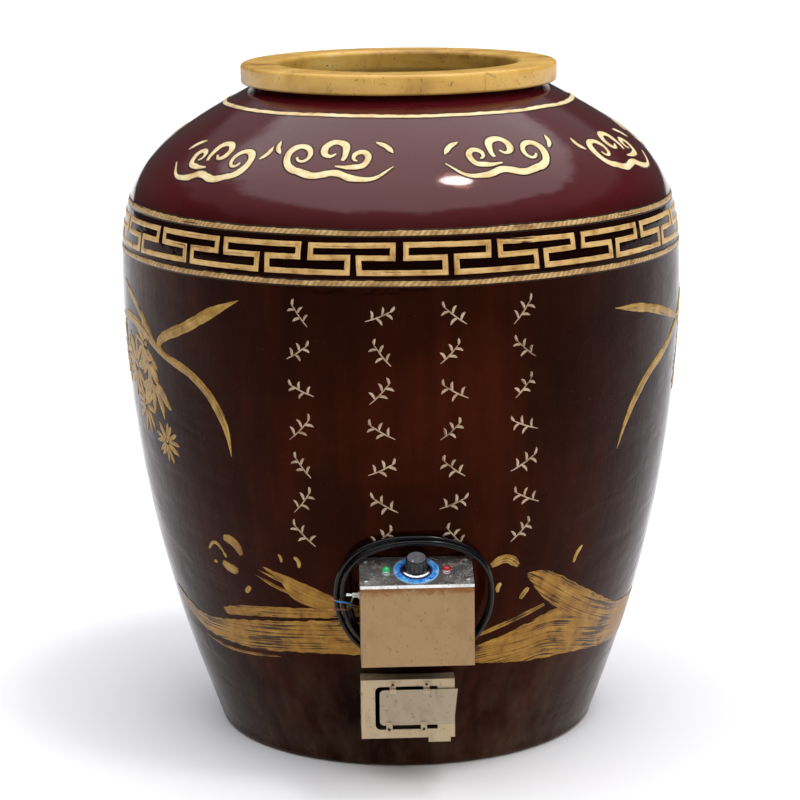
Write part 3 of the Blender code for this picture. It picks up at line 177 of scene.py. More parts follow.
# A round tube along points. The section turns with the route and never twists
def tubeShape(points, radius, sides):
    shape = bmesh.new()
    heading = (points[1] - points[0]).normalized()
    side = heading.orthogonal().normalized()
    rings, places, walked = [], [], 0.0
    for i, point in enumerate(points):
        ahead = points[min(i + 1, len(points) - 1)] - points[max(i - 1, 0)]
        turned = heading.rotation_difference(ahead.normalized())
        heading = ahead.normalized()
        side = turned @ side
        across = heading.cross(side)
        rings.append([shape.verts.new(point + (side * math.cos(a) + across * math.sin(a)) * radius)
                      for a in (math.tau * k / sides for k in range(sides))])
        walked += (point - points[i - 1]).length if i else 0
        places.append([(k / sides, walked) for k in range(sides + 1)])
    weave(shape, "tube", [ring + ring[:1] for ring in rings], places, (rings[0][::-1], rings[-1]))
    return shape


# Materials. A surfaceValue is a number, colour or place that changes over a surface, and sums add nodes

class surfaceValue:
    def __init__(self, socket):
        self.socket = socket

    def __add__(self, other):
        return maths("ADD", self, other)

    def __sub__(self, other):
        return maths("SUBTRACT", self, other)

    def __rsub__(self, other):
        return maths("SUBTRACT", other, self)

    def __mul__(self, other):
        return maths("MULTIPLY", self, other)


def setInputs(node, inputs):
    for name, value in inputs.items():
        if isinstance(value, surfaceValue):
            node.id_data.links.new(value.socket, node.inputs[name])
        elif hasattr(value, "__len__") and node.inputs[name].type == "RGBA":
            node.inputs[name].default_value = (*value, 1.0)
        else:
            node.inputs[name].default_value = value


def addNode(kind, output, inputs, tree=None, **settings):
    if tree is None:
        tree = next(value for value in inputs.values() if isinstance(value, surfaceValue)).socket.id_data
    node = tree.nodes.new("ShaderNode" + kind)
    for key, value in settings.items():
        setattr(node, key, value)
    setInputs(node, inputs)
    return surfaceValue(node.outputs[output])


def newMaterial(name, colour, roughness, metallic=0.0):
    material = bpy.data.materials.new(name)
    material.use_nodes = True
    material.diffuse_color = (*colour, 1.0)
    shader = material.node_tree.nodes["Principled BSDF"]
    setInputs(shader, {"Base Color": colour, "Roughness": roughness, "Metallic": metallic})
    return material, shader, addNode("TexCoord", "Object", {}, material.node_tree)


def maths(operation, *values):
    return addNode("Math", 0, dict(enumerate(values)), operation=operation)


def stretched(place, *scale):
    return addNode("Mapping", 0, {"Vector": place, "Scale": scale})


def noiseField(place, scale, detail=4.0, roughness=0.55, distortion=0.0):
    return addNode("TexNoise", "Fac", {"Vector": place, "Scale": scale, "Detail": detail,
                                       "Roughness": roughness, "Distortion": distortion})


def heightOf(place):
    return addNode("SeparateXYZ", "Z", {"Vector": place})


# Nought at the first number, one at the second
def rising(value, first, second):
    return addNode("MapRange", 0, {"Value": value, "From Min": first, "From Max": second})


def ramp(value, *stops):
    result = addNode("ValToRGB", "Color", {"Fac": value})
    elements = result.socket.node.color_ramp.elements
    while len(elements) < len(stops):
        elements.new(0.5)
    for element, (position, colour) in zip(elements, stops):
        element.position = position
        element.color = (*colour, 1.0) if hasattr(colour, "__len__") else (colour, colour, colour, 1.0)
    return result


def mixed(share, first, second):
    return addNode("Mix", 2, {0: share, 6: first, 7: second}, data_type="RGBA")


def bump(shader, height, distance, strength):
    setInputs(shader, {"Normal": addNode("Bump", 0, {"Height": height, "Distance": distance,
                                                     "Strength": strength})})


def darker(colour, share):
    return tuple(part * share for part in colour)


# Flex: out of the gland under the box, round the box in two layers, and up to three bare cores

# Lengths in metres, turns in degrees along the coil from its lowest point
cord = {
    "diameter": 0.0075,
    "step": 0.0088,
    "halfWidth": 0.1062,
    "middleHeight": 0.277,
    "rise": 0.084,
    "drop": 0.107,
    "squareness": 2.35,  # 2 is an ellipse
    "wallGap": 0.0014,
    "entry": 0.006,
    "entryTurn": 40.0,
    "start": 45.0,
    "reverse": 450.0,
    "end": 735.0,
    "points": 60,
}
glandEnd = Vector((0.02283, -0.37397, 0.1894))
glandHeading = Vector((-0.89101, 0.45399, 0.0))
leadSteps = [(-0.0388, 0.013, -0.0014), (-0.0638, 0.014, 0.0011)]
tailSteps = [(-0.0176, -0.0005, 0.0076), (-0.0286, -0.0025, 0.0181), (-0.0386, -0.007, 0.0306),
             (-0.0456, -0.0115, 0.0446), (-0.0506, -0.015, 0.0586), (-0.0541, -0.018, 0.0736)]

# The wall runs in two curves from the foot to the belly and from there to the neck. The pulls are the lengths
# of their handles
jar = {
    "footRadius": 0.2745,
    "footRound": 0.01,
    "bellyRadius": 0.4,
    "bellyHeight": 0.65,
    "neckRadius": 0.2022,
    "rimHeight": 0.028,
    "height": 0.9565,
    "footLean": math.radians(22),
    "footPull": 0.31,
    "bellyPullDown": 0.092,
    "bellyPullUp": 0.158,
    "shoulderLean": math.radians(27.6),
    "shoulderPull": 0.1915,
    "thickness": 0.024,
    "floorHeight": 0.03,
    "floorRound": 0.024,
    "rimRadius": 0.225,
    "rimRound": 0.0055,
    "rimUnderRound": 0.004,
    "mouthRadius": 0.17,
    "mouthRound": 0.007,
    "sides": 288,
}
neckHeight = jar["height"] - jar["rimHeight"]


def wallOutline(lowerCount, upperCount):
    foot = (jar["footRadius"], jar["footRound"])
    belly = (jar["bellyRadius"], jar["bellyHeight"])
    neck = (jar["neckRadius"], neckHeight)
    lower = interpolate_bezier(
        foot,
        (foot[0] + jar["footPull"] * math.sin(jar["footLean"]),
         foot[1] + jar["footPull"] * math.cos(jar["footLean"])),
        (belly[0], belly[1] - jar["bellyPullDown"]), belly, lowerCount)
    upper = interpolate_bezier(
        belly, (belly[0], belly[1] + jar["bellyPullUp"]),
        (neck[0] + jar["shoulderPull"] * math.cos(jar["shoulderLean"]),
         neck[1] - jar["shoulderPull"] * math.sin(jar["shoulderLean"])), neck, upperCount)
    return [tuple(p) for p in lower + upper[1:]]


fineWall = wallOutline(80, 70)
coarseWall = wallOutline(9, 10)


# The value that goes with a place on a rising scale
def readOff(place, scale, values):
    for i, (low, high) in enumerate(zip(scale, scale[1:])):
        if low <= place <= high:
            return values[i] + (values[i + 1] - values[i]) * (place - low) / (high - low)
    return values[0] if place < scale[0] else values[-1]


def radiusAt(height, wall=fineWall):
    radii, heights = zip(*wall)
    return readOff(height, heights, radii)


coilTop = cord["middleHeight"] + cord["rise"]
coilBottom = cord["middleHeight"] - cord["drop"]
coilBackOff = cord["diameter"] / 2 + cord["wallGap"]
coilTopY = -radiusAt(coilTop, coarseWall) - coilBackOff
coilBottomY = -radiusAt(coilBottom, coarseWall) - coilBackOff


def coilPoint(turn):
    inset = cord["step"] * abs(turn - cord["reverse"]) / 360
    angle = math.radians(turn)
    side, up = -math.sin(angle), -math.cos(angle)
    power = 2 / cord["squareness"] if up > 0 else 1
    x = math.copysign(abs(side) ** power, side) * (cord["halfWidth"] - inset)
    rise = (cord["rise"] if up > 0 else cord["drop"]) - inset
    z = cord["middleHeight"] + math.copysign(abs(up) ** power, up) * rise
    climbed = min(max((turn - cord["reverse"] + 90) / 180, 0), 1)
    forward = cord["step"] * (1 + math.cos(math.pi * climbed)) / 2
    forward += cord["entry"] * max((cord["start"] + cord["entryTurn"] - turn) / cord["entryTurn"], 0) ** 2
    back = coilBottomY + (coilTopY - coilBottomY) * (z - coilBottom) / (coilTop - coilBottom)
    return Vector((x, back - forward, z))


coilTurn = cord["end"] - cord["start"]
coilCount = round(coilTurn / 360 * cord["points"])
coil = [coilPoint(cord["start"] + coilTurn * i / coilCount) for i in range(coilCount + 1)]
coilFirst = (coil[0] - coilPoint(cord["start"] + 1)).normalized()
coilLast = (coil[-1] - coilPoint(cord["end"] - 1)).normalized()
coilIn = coil[0] + coilFirst * cord["diameter"]
coilOut = coil[-1] + coilLast * cord["diameter"]
leadStart = glandEnd + glandHeading * touch
lead = smoothRoute([leadStart, leadStart + glandHeading * cord["diameter"] * 1.5]
                   + [glandEnd + Vector(step) for step in leadSteps]
                   + [coilIn + coilFirst * cord["diameter"] * 0.7, coilIn, coil[0]], 0.004)
tail = smoothRoute([coil[-1], coilOut, coilOut + coilLast * cord["diameter"]]
                   + [coilOut + Vector(step) for step in tailSteps], 0.004)
flexRoute = lead[:-1] + coil + tail[1:]

rubber, shader, place = newMaterial("rubber", (0.0018, 0.0018, 0.0022), 0.22)
setInputs(shader, {"Specular IOR Level": 0.26,
                   "Roughness": ramp(noiseField(place, 35, 5), (0.35, 0.08), (0.7, 0.2))})
bump(shader, noiseField(place, 900, 3), 0.00006, 0.5)
flex = addPiece("powerFlex", tubeShape(flexRoute, cord["diameter"] / 2, 16), 50, rubber, "rubber",
                ("power_cord_lead", "power_cord_coil", "power_cord_tail"))

copper, shader, place = newMaterial("copper", (0.64, 0.26, 0.11), 0.3, 1.0)
setInputs(shader, {"Base Color": mixed(noiseField(place, 700, 2), (0.72, 0.32, 0.14), (0.35, 0.13, 0.06))})

# Each core as its place in the sheath, its way and its colour
coreRoutes = {
    "blue": ((0.0016, -0.001), [(-0.086, -0.364, 0.265), (-0.092, -0.3735, 0.27), (-0.105, -0.3755, 0.273),
                                (-0.114, -0.3755, 0.2775)], (0.03, 0.17, 0.52)),
    "brown": ((-0.0016, -0.001), [(-0.0878, -0.367, 0.2598), (-0.0945, -0.3745, 0.2608),
                                  (-0.108, -0.3745, 0.2615), (-0.118, -0.374, 0.2605)], (0.13, 0.045, 0.02)),
    "earth": ((0.0002, 0.0018), [(-0.085, -0.356, 0.268), (-0.083, -0.36, 0.2745), (-0.083, -0.365, 0.28)],
              (0.33, 0.43, 0.04)),
}


def joined(shapes):
    whole = bmesh.new()
    for shape in shapes:
        mesh = bpy.data.meshes.new("part")
        shape.to_mesh(mesh)
        shape.free()
        whole.from_mesh(mesh)
        bpy.data.meshes.remove(mesh)
    return whole


# One strand in the middle and six round it, which spread as they leave the sleeve
def strandRoute(route, bare, k):
    ahead = (route[-1] - route[-3]).normalized()
    side = ahead.orthogonal().normalized()
    strand = []
    for j, point in enumerate(route[-bare - 1:]):
        twist = math.tau * k / 6 + j * 0.5
        spread = cores["strandRing"] * (1 + 0.25 * j * (0.4 + 0.3 * math.sin(k * 2.3))) if k else 0.0
        strand.append(point + (side * math.cos(twist) + ahead.cross(side) * math.sin(twist)) * spread)
    return strand


coreStart = tail[-1]
coreUp = (tail[-1] - tail[-2]).normalized()
cores = {
    "diameter": 0.0024,
    "spacing": 0.002,
    "bareLength": 0.01,
    "strandRadius": 0.00026,
    "strandRing": 0.000496,
}
for name, (offset, route, colour) in coreRoutes.items():
    start = coreStart + coreUp * (cord["diameter"] * 0.1) + Vector((*offset, 0))
    route = smoothRoute([start, start + coreUp * 0.003] + route, cores["spacing"])
    bare = 1 if name == "earth" else round(cores["bareLength"] / cores["spacing"])
    sleeve, shader, place = newMaterial(name + "Sleeve", colour, 0.38)
    patches = ramp(noiseField(place, 160, 3), (0.45, 0.0), (0.8, 0.5))
    setInputs(shader, {"Base Color": mixed(patches, colour, darker(colour, 0.35))})
    tube = tubeShape(route[:len(route) - bare + 1], cores["diameter"] / 2, 12)
    addPiece(name + "Core", tube, 50, sleeve, name + "_sleeve", (name + "_core",))
    strands = joined([tubeShape(strandRoute(route, bare, k), cores["strandRadius"], 6) for k in range(7)])
    addPiece(name + "Strands", strands, 60, copper, "copper")

flexLength = routeLength(flexRoute)
print("flex length %.4f m" % flexLength)
print("flex made")


# Crock: a turned shell with the faint unevenness of a hand-thrown jar

band = {
    "top": 0.769,
    "low": 0.704,
    "shoulderLine": 0.904,
    "topWidth": 0.0074,
    "lowWidth": 0.007,
    "shoulderWidth": 0.0072,
}


def outward(points, index):
    before, after = points[max(index - 1, 0)], points[min(index + 1, len(points) - 1)]
    along = Vector((after[0] - before[0], after[1] - before[1])).normalized()
    return Vector((along.y, -along.x))


def shifted(points, distance):
    return [tuple(Vector(p) + outward(points, i) * distance) for i, p in enumerate(points)]


def arc(centre, radius, start, end, steps):
    return [(centre[0] + radius * math.cos(math.radians(start + (end - start) * i / steps)),
             centre[1] + radius * math.sin(math.radians(start + (end - start) * i / steps)))
            for i in range(steps + 1)]


# The outer wall's radius at a height, the flat facet's direction out of the wall, and the smooth one
def wallAt(height):
    for i, (low, high) in enumerate(zip(fineWall, fineWall[1:])):
        if low[1] <= height <= high[1]:
            break
    share = (height - low[1]) / (high[1] - low[1])
    facet = outward(fineWall, i)
    smooth = facet.lerp(outward(fineWall, i + 1), share).normalized()
    return low[0] + (high[0] - low[0]) * share, facet, smooth


def placeAt(angle, radius, height):
    return Vector((radius * math.sin(angle), -radius * math.cos(angle), height))


# A point on the outer wall. The angle runs from the front to the right, in radians
def onWall(angle, height, out=0.0):
    radius, facet, normal = wallAt(height)
    return placeAt(angle, radius + normal.x * out - waviness(angle, height), height + normal.y * out)


# How far the surface lies under its ideal form, in metres: throwing rings and slow dents
def waviness(angle, height):
    around = Vector((math.sin(angle), math.cos(angle), 0)) * 1.6
    slow = noise.noise(around + Vector((0, 0, height * 5)))
    rings = noise.noise(Vector((0, 3.7, height * 46)) + around * 0.35)
    dents = noise.noise(around * 4 + Vector((5, 0, height * 16)))
    return 0.0011 + 0.0007 * slow + 0.00018 * rings + 0.00022 * dents


def shellProfile():
    outer = fineWall
    inner = shifted(wallOutline(26, 28), -jar["thickness"])
    height, mouth, floor = jar["height"], jar["mouthRadius"], jar["floorHeight"]
    footRound, underRound, rimRound = jar["footRound"], jar["rimUnderRound"], jar["rimRound"]
    mouthRound, floorRound = jar["mouthRound"], jar["floorRound"]
    foot = arc((outer[0][0] - footRound, footRound), footRound, -90, 0, 8)
    under = arc((jar["rimRadius"] - underRound, neckHeight + underRound), underRound, -90, 0, 5)
    over = arc((jar["rimRadius"] - rimRound, height - rimRound), rimRound, 0, 90, 14)
    lip = arc((mouth + mouthRound, height - mouthRound), mouthRound, 90, 180, 8)
    kept = [p for p in inner if p[1] > floor + floorRound + 0.01 and p[0] > mouth + 0.004]
    corner = radiusAt(floor + floorRound, inner)
    neck = (mouth, kept[-1][1] + (kept[-1][0] - mouth) * math.tan(jar["shoulderLean"]))
    bottom = arc((corner - floorRound, floor + floorRound), floorRound, 0, -90, 6)
    return [(0, 0)] + foot[:-1] + outer + under + over + lip + [neck] + kept[::-1] + bottom + [(0, floor)]


# The outline is turned round, and what lies outside then sinks in by its waviness
def turnedShell():
    shape = turnedShape(shellProfile(), jar["sides"])
    for vert in shape.verts:
        x, y, height = vert.co
        radius = math.hypot(x, y)
        if radius > radiusAt(height) - jar["thickness"] / 2 or height > neckHeight:
            angle = math.atan2(x, -y)
            dip = waviness(angle, height) if height > 0.02 else 0.0004
            fade = min(max((height - 0.012) / 0.05, 0), 1)
            vert.co = placeAt(angle, radius - dip * fade, height)
    return shape


def cutter(shape):
    return linked("cutter", meshFrom("cutter", shape))


def boxShape(low, high):
    shape = bmesh.new()
    bmesh.ops.create_cube(shape, size=1)
    for vert in shape.verts:
        vert.co = Vector([l + (h - l) * (c + 0.5) for l, h, c in zip(low, high, vert.co)])
    return shape


def rodShape(radius, start, end, sides=32):
    shape = bmesh.new()
    start, end = Vector(start), Vector(end)
    turn = (end - start).to_track_quat("Z", "Y").to_matrix().to_4x4()
    bmesh.ops.create_cone(shape, cap_ends=True, segments=sides, radius1=radius, radius2=radius,
                          depth=(end - start).length, matrix=Matrix.Translation((start + end) / 2) @ turn)
    return shape


def cutFrom(mesh, tools):
    body = linked("body", mesh)
    for tool in tools:
        modifier = body.modifiers.new("cut", "BOOLEAN")
        modifier.operation = "DIFFERENCE"
        modifier.solver = "EXACT"
        modifier.object = tool
    result = evaluated(body)
    for tool in tools:
        bpy.data.objects.remove(tool)
    return result


# The mesh that an object's modifiers or letters come to. The object itself goes
def evaluated(thing):
    bpy.context.view_layer.update()
    mesh = bpy.data.meshes.new_from_object(thing.evaluated_get(bpy.context.evaluated_depsgraph_get()))
    bpy.data.objects.remove(thing)
    return mesh


def boxMiddle(name):
    low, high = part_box(name)
    return (Vector(low) + Vector(high)) / 2


portLow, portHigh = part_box("port_frame")
portMiddle = boxMiddle("port_frame")
sleeveLow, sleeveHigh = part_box("lead_sleeve")
sleeveMiddle = boxMiddle("lead_sleeve")

# What passes through the wall has some play. The cuts run from before the wall to behind it, and the port's
# lowest tab hangs below its sleeve
holes = {
    "fit": 0.0006,
    "bolt": 0.005,
    "portDepth": 0.083,
    "front": -0.45,
    "portBack": -0.14,
    "back": -0.2,
}
portCut = boxShape((portLow[0] - holes["fit"], holes["front"],
                    portHigh[2] - holes["portDepth"] - holes["fit"]),
                   (portHigh[0] + holes["fit"], holes["portBack"], portHigh[2] + holes["fit"]))
tools = [cutter(portCut)]
sleeveHole = (sleeveHigh[0] - sleeveLow[0]) / 2 + holes["fit"]
for radius, place in ((sleeveHole, sleeveMiddle), (holes["bolt"], boxMiddle("box_bolt_left")),
                      (holes["bolt"], boxMiddle("box_bolt_right"))):
    rod = rodShape(radius, (place.x, holes["front"], place.z), (place.x, holes["back"], place.z))
    tools.append(cutter(rod))
shellMesh = cutFrom(meshFrom("shell", turnedShell(), 35), tools)

# Iron glaze: almost black where it is thick, red where it is thin, with runs, pinholes and dust at the foot,
# and a painted shadow round the port
glaze, shader, place = newMaterial("glaze", (0.03, 0.006, 0.003), 0.14)
height = heightOf(place)
slow = noiseField(stretched(place, 1, 1, 0.7), 4.2, 4, 0.55, 0.4)
runs = noiseField(stretched(place, 1, 1, 0.1), 34, 4)
colour = ramp(runs * 0.35 + slow * 0.8, (0.42, (0.0044, 0.0009, 0.0004)), (0.58, (0.013, 0.0022, 0.0007)),
              (0.76, (0.034, 0.0052, 0.0014)))
shoulder = rising(height, band["top"] - 0.02, band["top"] + 0.03)
# Partly painted sheen: the shoulder turns a purple red, partly the glaze's own redder tone there and partly a
# painted reflection of the sky
colour = mixed(shoulder * 0.75, colour, (0.086, 0.0055, 0.009))
besideBand = rising(maths("ABSOLUTE", height - (band["top"] + band["low"]) / 2), 0.033, 0.037)
colour = mixed((1.0 - besideBand) * 0.85, colour, (0.004, 0.0012, 0.001))
speckles = ramp(noiseField(place, 420, 2), (0.7, 0.0), (0.76, 1.0))
colour = mixed(speckles * 0.35, colour, (0.11, 0.05, 0.025))
# Painted shadow: in front, the glaze turns near black in an oval round the port, standing in for the shade
# that the port and box cast on the wall
reach = Vector(((portHigh[0] - portLow[0]) * 1.5, 1, (portHigh[2] - portLow[2]) * 1.8))
fromPort = addNode("VectorMath", "Value", {0: addNode("Mapping", 0, {
    "Vector": place, "Location": (-portMiddle.x / reach.x, 0, -portMiddle.z / reach.z),
    "Scale": (1 / reach.x, 0, 1 / reach.z)})}, operation="LENGTH")
ahead = maths("LESS_THAN", addNode("SeparateXYZ", "Y", {"Vector": place}), 0.0)
paintedPortShadow = ahead * ramp(slow * 0.2 + fromPort, (0.42, 0.9), (0.66, 0.0))
colour = mixed(paintedPortShadow, colour, (0.002, 0.0012, 0.001))
foot = rising(height, 0.3, 0.0)
dust = (ramp(noiseField(stretched(place, 1, 1, 0.35), 26, 6, 0.65) + foot * 0.25, (0.56, 0.0), (0.86, 1.0))
        * (foot * 0.25 + 0.03))
colour = mixed(dust, colour, (0.13, 0.085, 0.05))
gloss = ramp(noiseField(place, 18, 5), (0.35, 0.05), (0.75, 0.15))
setInputs(shader, {
    "Base Color": colour, "Roughness": gloss + dust * 0.9,
    "Specular IOR Level": 0.09, "Specular Tint": (1.0, 0.3, 0.18), "Coat Weight": shoulder * 0.6,
    "Coat IOR": 1.62, "Coat Roughness": 0.07})
peel = noiseField(place, 120, 3) * 0.6 + runs
waves = noiseField(stretched(place, 1, 1, 2.6), 10, 2, 0.4, 0.5) * 5.0 + peel
bump(shader, waves - speckles * 0.5, 0.0009, 0.45)

# Ochre slip under a thin clear glaze on the rim and inner wall, brushed on, with dark rubs and painted shade
# below
ochreRim, shader, place = newMaterial("ochreRim", (0.56, 0.33, 0.08), 0.34)
height = heightOf(place)
rubs = noiseField(stretched(place, 1, 1, 1.6), 11, 7, 0.62, 0.6)
colour = ramp(rubs, (0.3, (0.36, 0.18, 0.028)), (0.46, (0.62, 0.35, 0.062)),
              (0.62, (0.73, 0.44, 0.095)), (0.8, (0.86, 0.6, 0.2)))
stains = ramp(noiseField(place, 30, 6, 0.7, 1.2), (0.6, 0.0), (0.68, 1.0))
pits = ramp(noiseField(place, 170, 3, 0.6, 0.5), (0.65, 0.0), (0.7, 1.0))
for share, shade in ((stains * 0.55, (0.12, 0.06, 0.02)), (pits * 0.75, (0.08, 0.036, 0.012)),
                     # Painted shade: darker from the rim top down the inner wall into the mouth
                     (rising(height, jar["height"] - 0.008, 0.7) * 0.85, (0.07, 0.04, 0.022)),
                     # Painted shadow: darker along the rim's lower edge, over the undercut above the neck
                     (rising(height, neckHeight + 0.004, neckHeight) * 0.45, (0.03, 0.012, 0.006))):
    colour = mixed(share, colour, shade)
setInputs(shader, {"Base Color": colour,
                   "Roughness": ramp(noiseField(place, 24, 5), (0.3, 0.26), (0.75, 0.5))})
bump(shader, rubs + noiseField(place, 260, 3) - pits, 0.0006, 0.4)

# Bare stoneware where the wall is cut through and under the foot
biscuit, shader, place = newMaterial("biscuit", (0.3, 0.19, 0.12), 0.85)
setInputs(shader, {"Base Color": ramp(noiseField(place, 60, 6, 0.7), (0.3, (0.2, 0.12, 0.075)),
                                      (0.7, (0.38, 0.26, 0.17)))})
bump(shader, noiseField(place, 500, 5), 0.0008, 0.6)

addPiece("crockShell", shellMesh, None, glaze, "glaze", ("crock_body",))
shellMesh.materials.append(ochreRim)
shellMesh.materials.append(biscuit)
for face in shellMesh.polygons:
    x, y, z = face.center
    outside = math.hypot(x, y) - radiusAt(min(z, neckHeight))
    level = abs(face.normal.z) > 0.999
    if z > neckHeight + 0.0002 or (outside < -0.02 and z > jar["floorHeight"] - 0.001):
        face.material_index = 1
    elif outside < -0.004 and z > 0.001 or (level and z < 0.001):
        face.material_index = 2
    else:
        face.material_index = 0
print("crock made")


# Ornament: ochre strokes carved and slipped on the glaze, each a low ribbon that follows the wall

# How far strokes and lines rise above the glaze and reach into it, and the margin and height of their cut
slip = {
    "rise": 0.0007,
    "lineRise": 0.0009,
    "sink": 0.0005,
    "cutSide": 0.0021,
    "cutRise": 0.00025,
}
wallHeights = [height for radius, height in fineWall]
wallWalk = [0.0]
for low, high in zip(fineWall, fineWall[1:]):
    wallWalk.append(wallWalk[-1] + math.hypot(high[0] - low[0], high[1] - low[1]))


# Offsets in metres along the wall from a place on it become an angle and a height
def besides(angle, height, right, above):
    place = readOff(readOff(height, wallHeights, wallWalk) + above, wallWalk, wallHeights)
    return angle + right / radiusAt(place), place


# Strokes of a framed shape lie in a dark cut, a little wider than they are
framed = []
cutShape = bmesh.new()


# One stroke through places on the wall. Its corners are mitred, and its ends close to a rounded tip
def addStroke(shape, places, widths, rise=slip["rise"], closed=False):
    if shape in framed:
        cutWidths = [width + 2 * slip["cutSide"] for width in widths]
        addStroke(cutShape, places, cutWidths, slip["cutRise"], closed)
    count = len(places)
    points = [onWall(angle, height) for angle, height in places]
    section = ((-1.0, -slip["sink"]), (-0.92, rise * 0.55), (-0.72, rise * 0.95), (0.0, rise * 1.1),
               (0.72, rise * 0.95), (0.92, rise * 0.55), (1.0, -slip["sink"]))
    rings = []
    for i, (angle, height) in enumerate(places):
        facet = wallAt(height)[1]
        normal = placeAt(angle, facet.x, facet.y).normalized()
        into = points[i] - points[i - 1] if closed or i else points[1] - points[0]
        away = points[(i + 1) % count] - points[i] if closed or i < count - 1 else into
        sideIn = normal.cross(into.normalized()).normalized()
        sideOut = normal.cross(away.normalized()).normalized()
        side = (sideIn + sideOut).normalized()
        side *= min(1 / max(side.dot(sideIn), 0.3), 1.6) * widths[i] / 2
        rings.append([shape.verts.new(points[i] + side * across + normal * out) for across, out in section])
    if closed:
        points, rings, widths = points + points[:1], rings + rings[:1], widths + widths[:1]
    walked, strokePlaces = 0.0, []
    for i, width in enumerate(widths):
        walked += (points[i] - points[i - 1]).length if i else 0
        strokePlaces.append([(walked, across * width / 2) for across, out in section])
    weave(shape, "stroke", rings, strokePlaces, () if closed else (rings[0], rings[-1][::-1]))


# A brush stroke through places, with a width that swells and tapers
def painted(shape, places, width, taper, rise=slip["rise"]):
    start, end = taper
    widths = []
    for i, (angle, height) in enumerate(places):
        share = i / (len(places) - 1)
        swell = min(1, start + share * 4 * (1 - start), end + (1 - share) * 4 * (1 - end))
        wobble = noise.noise(Vector((angle * 36, height * 90, 1.3)))
        widths.append(width * swell * (1 + 0.16 * wobble))
    addStroke(shape, places, widths, rise)


# The same, through offsets from one place
def brushed(shape, angle, height, offsets, width, taper, scale=1.0, turn=0.0, mirror=1, spacing=0.004):
    cosine, sine = math.cos(turn), math.sin(turn)
    flat = [Vector((x * mirror * scale, y * scale, 0)) for x, y in offsets]
    flat = [Vector((p.x * cosine - p.y * sine, p.x * sine + p.y * cosine, 0)) for p in flat]
    route = smoothRoute(flat, spacing)
    painted(shape, [besides(angle, height, point.x, point.y) for point in route], width, taper)


def curl(centre, radius, start, turns, inner=0.3):
    steps = max(6, round(turns * 12))
    points = []
    for i in range(steps + 1):
        share = i / steps
        angle = math.radians(start) + math.tau * turns * share
        r = radius * (1 - (1 - inner) * share)
        points.append((centre[0] + r * math.cos(angle), centre[1] + r * math.sin(angle)))
    return points


# Meander band between two corded lines, laid out by hand in twenty units

meanders = {
    "frontStart": math.radians(-1.3),
    "frontPitch": math.radians(18.39),
    "frontUnits": (-4, 4),  # evenly spaced there, as the photograph shows them
    "units": 20,
    "width": 0.0074,
    "radius": 0.393,
}
lowest, beyond = meanders["frontUnits"][0], meanders["frontUnits"][0] + meanders["units"]
levels = {"top": 0.753, "middle": 0.737, "bottom": 0.718}
unitCorners = [(0, "middle"), (0, "top"), (0.87, "top"), (0.87, "middle"), (0.52, "middle"), (0.52, "bottom"),
               (1.4, "bottom"), (1.4, "middle")]


def unitAngle(place):
    low, high = meanders["frontUnits"]
    if place >= beyond:
        return unitAngle(place - meanders["units"]) + math.tau
    if place <= high:
        return meanders["frontStart"] + meanders["frontPitch"] * place
    rest = (math.tau - meanders["frontPitch"] * (high - low)) / (meanders["units"] - (high - low))
    return meanders["frontStart"] + meanders["frontPitch"] * high + rest * (place - high)


randomHand = random.Random(7)
corners = []
for unit in range(lowest, beyond):
    for across, level in unitCorners:
        corners.append((unitAngle(unit + across) + randomHand.uniform(-1, 1) * 0.0022,
                        levels[level] + randomHand.uniform(-1, 1) * 0.0008))
meander = []
for start, end in zip(corners, corners[1:] + [(corners[0][0] + math.tau, corners[0][1])]):
    turn, climb = end[0] - start[0], end[1] - start[1]
    steps = max(1, round(math.hypot(turn * meanders["radius"], climb) / 0.006))
    meander += [(start[0] + turn * (k / steps), start[1] + climb * (k / steps)) for k in range(steps)]
bandShape = bmesh.new()
addStroke(bandShape, meander, [meanders["width"] * (1 + 0.13 * noise.noise(Vector((a * 30, z * 60, 0))))
                               for a, z in meander], slip["lineRise"], True)


# Corded lines are twisted, with a slow wander; the line on the shoulder is plain
def lineShape(steps, cording, *lines):
    shape = bmesh.new()
    framed.append(shape)
    for height, width in lines:
        places, widths = [], []
        for i in range(steps):
            angle = math.tau * i / steps
            x, y = math.sin(angle), math.cos(angle)
            drift, ragged = [noise.noise(Vector((x * scale, y * scale, height * 20))) for scale in (3, 26)]
            strand = math.sin(angle * 150 + 9 * drift) * (0.5 + ragged) * cording
            places.append((angle, height + 0.0012 * drift + 0.0005 * ragged + 0.0002 * strand))
            widths.append(width * (1 + 0.12 * drift + 0.14 * ragged + 0.07 * strand))
        addStroke(shape, places, widths, slip["lineRise"], True)
    return shape


cordShape = lineShape(1200, 1, (band["top"], band["topWidth"]), (band["low"], band["lowWidth"]))
ringShape = lineShape(300, 0, (band["shoulderLine"], band["shoulderWidth"]))

